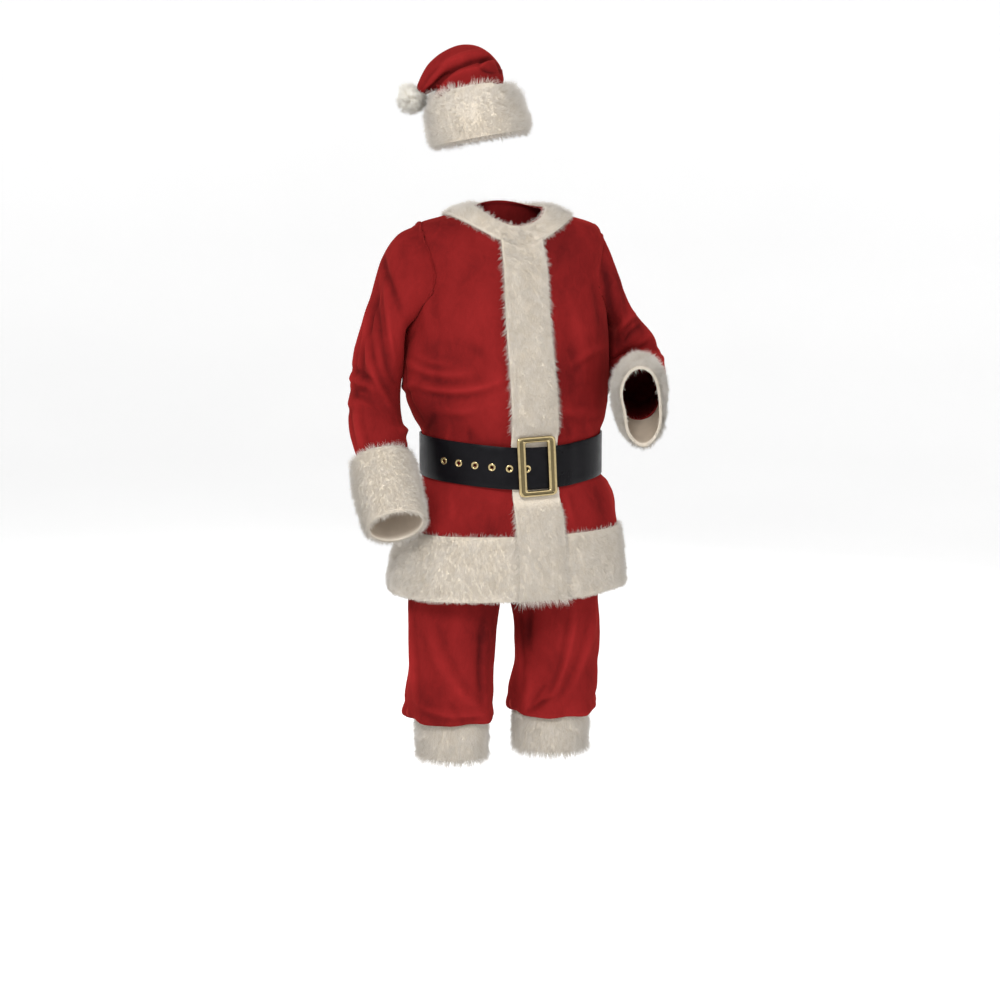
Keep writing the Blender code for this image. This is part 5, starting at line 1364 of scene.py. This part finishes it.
def belt_point(distance, up, out):
    """A point of the strap: distance round it, height above its middle, depth from its inner face."""
    turns, rest = divmod(distance, BELT_GIRTH)
    angle = 360.0 * turns + float(np.interp(rest, BELT_LENGTHS, range(361)))
    from_front = (angle + 180.0) % 360.0 - 180.0
    over_band = within(from_front, *BELT_BAND_RIGHT, *BELT_BAND_LEFT)
    leaves, lies_over = BELT_OVERLAP
    overlap = smooth(distance, BELT_GIRTH - leaves, BELT_GIRTH - lies_over)
    layer = BELT_THICKNESS + BELT_LAYER_GAP
    off = BELT_CLEARANCE + BELT_OVER_BAND * over_band + layer * overlap
    return belt_outline(angle, float(off) + out) + Vector((0.0, 0.0, up))


def eyelet_distance(number):
    """The place of an eyelet along the strap."""
    return BELT_GIRTH + EYELET_FIRST - EYELET_SPACING * number


def bevel_sharp(built, width, segments, sharp=math.radians(50.0)):
    """Round every edge that is sharper than an angle."""
    edges = [edge for edge in built.edges
             if len(edge.link_faces) == 2 and edge.calc_face_angle() > sharp]
    bmesh.ops.bevel(built, geom=edges, offset=width, offset_type="OFFSET", affect="EDGES",
                    segments=segments, profile=0.5, material=-1, clamp_overlap=True)


def flat_strap():
    """The strap before it is cut and bent: its length along X, its depth along Y."""
    length = BELT_GIRTH + BELT_TIP - BELT_START
    built = bmesh.new()
    bmesh.ops.create_cube(built, size=1.0)
    bmesh.ops.scale(built, vec=(length, BELT_THICKNESS, BELT_HEIGHT), verts=built.verts)
    middle = BELT_START + length / 2.0
    bmesh.ops.translate(built, vec=(middle, BELT_THICKNESS / 2.0, 0.0), verts=built.verts)
    step = BELT_START + STRAP_STEP
    while step < BELT_START + length - STRAP_STEP / 2.0:
        bmesh.ops.bisect_plane(built, geom=built.verts[:] + built.edges[:] + built.faces[:],
                               plane_co=(step, 0.0, 0.0), plane_no=(1.0, 0.0, 0.0))
        step += STRAP_STEP
    for height in STRAP_CUTS:
        bmesh.ops.bisect_plane(built, geom=built.verts[:] + built.edges[:] + built.faces[:],
                               plane_co=(0.0, 0.0, height), plane_no=(0.0, 0.0, 1.0))
    bevel_sharp(built, STRAP_EDGE, 2)
    return mesh_of(built, "belt_strap_vinyl")


def hole_cutters():
    """One mesh of the round cutters for the eyelets' holes."""
    built = bmesh.new()
    for number in range(EYELETS):
        place = Matrix.Translation((eyelet_distance(number), BELT_THICKNESS / 2.0, 0.0)) \
            @ Matrix.Rotation(math.radians(90.0), 4, "X")
        bmesh.ops.create_cone(built, cap_ends=True, segments=28, radius1=EYELET_HOLE, radius2=EYELET_HOLE,
                              depth=4.0 * BELT_THICKNESS, matrix=place)
    return mesh_of(built, "holes")


def bend_round_waist(mesh):
    """Bend a mesh that is laid out along the strap round the waist."""
    for vertex in mesh.vertices:
        flat = vertex.co
        vertex.co = belt_point(flat.x, flat.z, flat.y)
    mesh.update()


def add_strap(context):
    """The vinyl strap with its holes."""
    settings = context.scene.suit
    strap = add_piece("belt_strap_vinyl", flat_strap(),
                      material_named("satin vinyl", vinyl_material, settings))
    cutters = add_piece("holes", hole_cutters())
    cut = strap.modifiers.new("holes", "BOOLEAN")
    cut.object = cutters
    cut.solver = "EXACT"
    settled(strap)
    bpy.data.objects.remove(cutters)
    bend_round_waist(strap.data)
    strap.data.shade_smooth()
    strap.data.set_sharp_from_angle(angle=SHARP_ANGLE)
    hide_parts("belt_strap")
    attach(strap, "root")


def eyelet_ring():
    """An eyelet that lies flat at the origin: its rolled ring, and its barrel below it."""
    built = bmesh.new()
    turned = Matrix.Translation((EYELET_RING, 0.0, 0.0)) @ Matrix.Rotation(math.radians(90.0), 4, "X")
    section = bmesh.ops.create_circle(built, cap_ends=False, segments=12, radius=EYELET_WIRE,
                                      matrix=turned)["verts"]
    bmesh.ops.scale(built, vec=(1.0, 1.0, EYELET_FLATNESS), verts=section)
    bmesh.ops.spin(built, geom=section + built.edges[:], cent=(0, 0, 0), axis=(0, 0, 1),
                   angle=math.tau, steps=EYELET_STEPS, use_merge=True)
    radius = EYELET_HOLE - EYELET_PLAY
    barrel = bmesh.ops.create_cone(
        built, cap_ends=False, segments=EYELET_STEPS, radius1=radius, radius2=radius,
        depth=BELT_THICKNESS, matrix=Matrix.Translation((0.0, 0.0, -BELT_THICKNESS / 2.0)))["verts"]
    bmesh.ops.solidify(built, geom=list({face for vert in barrel for face in vert.link_faces}),
                       thickness=EYELET_SHEET)
    bmesh.ops.recalc_face_normals(built, faces=built.faces)
    return built


def add_eyelets(context):
    """Pressed brass eyelets, each with a short barrel through the strap."""
    brass = material_named("pale brass", brass_material, context.scene.suit)
    for number in range(EYELETS):
        distance = eyelet_distance(number)
        seat = belt_point(distance, 0.0, BELT_THICKNESS)
        along = belt_point(distance + 0.001, 0.0, 0.0) - belt_point(distance - 0.001, 0.0, 0.0)
        facing = along.cross(Vector((0.0, 0.0, 1.0))).normalized()
        place = Matrix.Translation(seat + facing * EYELET_WIRE * EYELET_FLATNESS) \
            @ facing.to_track_quat("Z", "Y").to_matrix().to_4x4()
        built = eyelet_ring()
        bmesh.ops.transform(built, matrix=place, verts=built.verts)
        eyelet = add_piece(f"belt_eyelet_{number + 1}_brass",
                           mesh_of(built, f"belt_eyelet_{number + 1}_brass"), brass)
        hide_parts(f"belt_eyelet_{number + 1}")
        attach(eyelet, "root")


def buckle_outline(share):
    """The frame's outline, a share of the way in from its outer edge to its window."""
    half_width = BUCKLE_HALF_WIDTH - share * BUCKLE_SIDE_MEMBER
    half_height = BUCKLE_HALF_HEIGHT - share * BUCKLE_END_MEMBER
    corner = BUCKLE_CORNER + share * (BUCKLE_WINDOW_CORNER - BUCKLE_CORNER)
    line = []
    for quarter in range(4):
        across = 1.0 if quarter in (0, 3) else -1.0
        up = 1.0 if quarter < 2 else -1.0
        middle = Vector((across * (half_width - corner), up * (half_height - corner)))
        for step in range(BUCKLE_CORNER_STEPS + 1):
            turn = math.radians(90.0) * (quarter + step / BUCKLE_CORNER_STEPS)
            line.append(middle + corner * Vector((math.cos(turn), math.sin(turn))))
    points = []
    for number, point in enumerate(line):
        after = line[(number + 1) % len(line)]
        pieces = BUCKLE_SIDE_STEPS if (number + 1) % (BUCKLE_CORNER_STEPS + 1) == 0 else 1
        points += [point.lerp(after, part / pieces) for part in range(pieces)]
    return points


def add_buckle(context):
    """The rectangular frame: raised outer and inner edges with a shallow channel between them."""
    built = bmesh.new()
    outlines = [(buckle_outline(share), height) for share, height in BUCKLE_SECTION]
    count = len(outlines[0][0])
    channel = built.verts.layers.float.new("channel")
    ring = bmesh.ops.create_circle(built, cap_ends=False, segments=count, radius=1.0)["verts"]
    edges = built.edges[:]
    for number, (points, height) in enumerate(outlines):
        if number:
            grown = bmesh.ops.extrude_edge_only(built, edges=edges)["geom"]
            before = ring
            edges = [item for item in grown if isinstance(item, bmesh.types.BMEdge)
                     and all(end not in before for end in item.verts)]
            ring = [next(edge.other_vert(vert) for edge in vert.link_edges
                         if edge.other_vert(vert) in grown) for vert in before]
        for vert, point in zip(ring, points):
            vert.co = Vector((point.x, point.y, height))
            # points in the channel are marked for the painted shade
            vert[channel] = 1.0 if CHANNEL[0] < BUCKLE_SECTION[number][0] < CHANNEL[1] else 0.0
    bmesh.ops.bridge_loops(built, edges=[edge for edge in built.edges if edge.is_boundary])
    bmesh.ops.rotate(built, cent=(0, 0, 0), matrix=Matrix.Rotation(math.radians(BUCKLE_TILT), 3, "Z"),
                     verts=built.verts)
    layer = 2.0 * BELT_THICKNESS + BELT_LAYER_GAP + BELT_CLEARANCE + BELT_OVER_BAND + BUCKLE_CLEARANCE
    for vert in built.verts:
        angle = float(np.interp((BUCKLE_MIDDLE + vert.co.x) % BELT_GIRTH, BELT_LENGTHS, range(361)))
        base = belt_outline(angle, layer + vert.co.z)
        vert.co = Vector((base.x, base.y, BELT_FRONT_Z + BUCKLE_RISE + vert.co.y))
    bmesh.ops.recalc_face_normals(built, faces=built.faces)
    buckle = add_piece("belt_buckle_brass", mesh_of(built, "belt_buckle_brass"),
                       material_named("pale brass", brass_material, context.scene.suit))
    buckle.data.set_sharp_from_angle(angle=SHARP_ANGLE)
    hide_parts("belt_buckle")
    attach(buckle, "root")


# ---- The stage ----
def add_floor():
    """A pale floor that rises to a wall all round."""
    built = bmesh.new()
    before = None
    line = []
    for radius, height in FLOOR_PROFILE:
        vert = built.verts.new((radius, 0.0, FLOOR_Z + height))
        line.append(vert)
        if before is not None:
            line.append(built.edges.new((before, vert)))
        before = vert
    bmesh.ops.spin(built, geom=line, cent=(0, 0, 0), axis=(0, 0, 1), angle=math.tau, steps=FLOOR_STEPS,
                   use_merge=True)
    bmesh.ops.remove_doubles(built, verts=built.verts, dist=0.0001)
    bmesh.ops.recalc_face_normals(built, faces=built.faces)
    material, tree, shader, place = new_material("pale floor")
    soft = cloudy(tree, place, 0.7, detail=2.0)
    tint = ramp_of(tree, soft, (0.3, (0.89, 0.89, 0.89, 1)), (0.7, (0.91, 0.91, 0.91, 1)))
    tree.links.new(tint, shader.inputs["Base Color"])
    set_inputs(shader, Emission_Color=(1.0, 1.0, 1.0, 1.0), Emission_Strength=FLOOR_GLOW, Roughness=0.9,
               Specular_IOR_Level=0.1)
    floor = add_piece("floor", mesh_of(built, "floor"), material)


def add_studio_light(context):
    """Even light from all round."""
    world = bpy.data.worlds.new("studio")
    world.use_nodes = True
    set_inputs(world.node_tree.nodes["Background"], Color=(1.0, 1.0, 1.0, 1.0), Strength=STUDIO_LIGHT)
    context.scene.world = world


def add_lamp(context, lamp):
    """A large soft lamp that points at the suit."""
    bulb = bpy.data.lights.new(lamp.name, "AREA")
    bulb.shape = "DISK"
    bulb.size = lamp.size
    bulb.energy = lamp.power
    holder = bpy.data.objects.new(lamp.name, bulb)
    holder.location = lamp.place
    holder.visible_camera = False
    holder.rotation_euler = (Vector(lamp.aim) - Vector(lamp.place)).to_track_quat("-Z", "Y").to_euler()
    context.scene.collection.objects.link(holder)


def add_camera(context):
    """The camera, level with the base of the neck and looking a little down."""
    turn = math.radians(CAMERA_TURN)
    tilt = math.radians(CAMERA_TILT)
    forward = Vector((-math.sin(turn), math.cos(turn), 0.0))
    right = Vector((math.cos(turn), math.sin(turn), 0.0))
    lens = bpy.data.cameras.new("camera")
    lens.sensor_width = SENSOR
    lens.lens = SENSOR * FOCAL_SHARE
    lens.clip_end = VIEW_REACH
    camera = bpy.data.objects.new("camera", lens)
    camera.location = right * CAMERA_ASIDE - forward * CAMERA_DISTANCE
    look = forward * math.cos(tilt) - Vector((0.0, 0.0, math.sin(tilt)))
    camera.rotation_euler = look.to_track_quat("-Z", "Y").to_euler()
    context.scene.collection.objects.link(camera)
    context.scene.camera = camera
    context.scene.view_settings.view_transform = "Standard"


# ---- Operators ----
class SUIT_OT_jacket(bpy.types.Operator):
    """Make the jacket's fronts and back"""

    bl_idname = "suit.jacket"
    bl_label = "Jacket"

    def execute(self, context):
        for panel in PANELS["jacket"]:
            add_velvet(context, panel)
        return {"FINISHED"}


class SUIT_OT_sleeves(bpy.types.Operator):
    """Make the two sleeves"""

    bl_idname = "suit.sleeves"
    bl_label = "Sleeves"

    def execute(self, context):
        for panel in PANELS["sleeves"]:
            add_velvet(context, panel)
        return {"FINISHED"}


class SUIT_OT_trousers(bpy.types.Operator):
    """Make the trousers' pieces and their waistband"""

    bl_idname = "suit.trousers"
    bl_label = "Trousers"

    def execute(self, context):
        for panel in PANELS["trousers"]:
            add_velvet(context, panel)
        return {"FINISHED"}


class SUIT_OT_crown(bpy.types.Operator):
    """Make the cap's velvet crown"""

    bl_idname = "suit.crown"
    bl_label = "Cap Crown"

    def execute(self, context):
        for panel in PANELS["crown"]:
            add_velvet(context, panel)
        return {"FINISHED"}


class SUIT_OT_plush_trim(bpy.types.Operator):
    """Make the plush bands, the collar and the cuffs"""

    bl_idname = "suit.plush_trim"
    bl_label = "Plush Trim"

    def execute(self, context):
        for number, plush in enumerate(PLUSH_TRIM):
            add_plush(context, plush, FIRST_TRIM_SEED + number)
        return {"FINISHED"}


class SUIT_OT_plush_cap(bpy.types.Operator):
    """Make the cap's plush brim and pompom"""

    bl_idname = "suit.plush_cap"
    bl_label = "Plush Brim and Pompom"

    def execute(self, context):
        for number, plush in enumerate(PLUSH_CAP):
            add_plush(context, plush, FIRST_CAP_SEED + number)
        return {"FINISHED"}


class SUIT_OT_belt(bpy.types.Operator):
    """Make the strap, its eyelets and the buckle"""

    bl_idname = "suit.belt"
    bl_label = "Belt"

    def execute(self, context):
        add_strap(context)
        add_eyelets(context)
        add_buckle(context)
        return {"FINISHED"}


class SUIT_OT_stage(bpy.types.Operator):
    """Make the floor, the light and the camera"""

    bl_idname = "suit.stage"
    bl_label = "Stage"

    def execute(self, context):
        add_floor()
        add_studio_light(context)
        for lamp in LAMPS:
            add_lamp(context, lamp)
        add_camera(context)
        return {"FINISHED"}


class SUIT_PT_pieces(bpy.types.Panel):
    """The suit's settings and pieces"""

    bl_label = "Suit"
    bl_idname = "SUIT_PT_pieces"
    bl_space_type = "VIEW_3D"
    bl_region_type = "UI"
    bl_category = "Suit"

    def draw(self, context):
        settings = context.scene.suit
        for name in settings.bl_rna.properties.keys():
            if name not in ("rna_type", "name"):
                self.layout.prop(settings, name)
        for operator in OPERATORS:
            self.layout.operator(operator.bl_idname)


OPERATORS = (
    SUIT_OT_jacket,
    SUIT_OT_sleeves,
    SUIT_OT_trousers,
    SUIT_OT_crown,
    SUIT_OT_plush_trim,
    SUIT_OT_plush_cap,
    SUIT_OT_belt,
    SUIT_OT_stage,
)
CLASSES = (SuitSettings,) + OPERATORS + (SUIT_PT_pieces,)


def register():
    """Add the classes and the scene's settings."""
    for kind in CLASSES:
        bpy.utils.register_class(kind)
    bpy.types.Scene.suit = PointerProperty(type=SuitSettings)


def unregister():
    """Remove the settings and the classes."""
    del bpy.types.Scene.suit
    for kind in reversed(CLASSES):
        bpy.utils.unregister_class(kind)


def main():
    """Make every piece."""
    register()
    bpy.ops.suit.jacket()
    bpy.ops.suit.sleeves()
    bpy.ops.suit.trousers()
    bpy.ops.suit.crown()
    bpy.ops.suit.plush_trim()
    bpy.ops.suit.plush_cap()
    bpy.ops.suit.belt()
    bpy.ops.suit.stage()


if __name__ == "__main__":
    main()
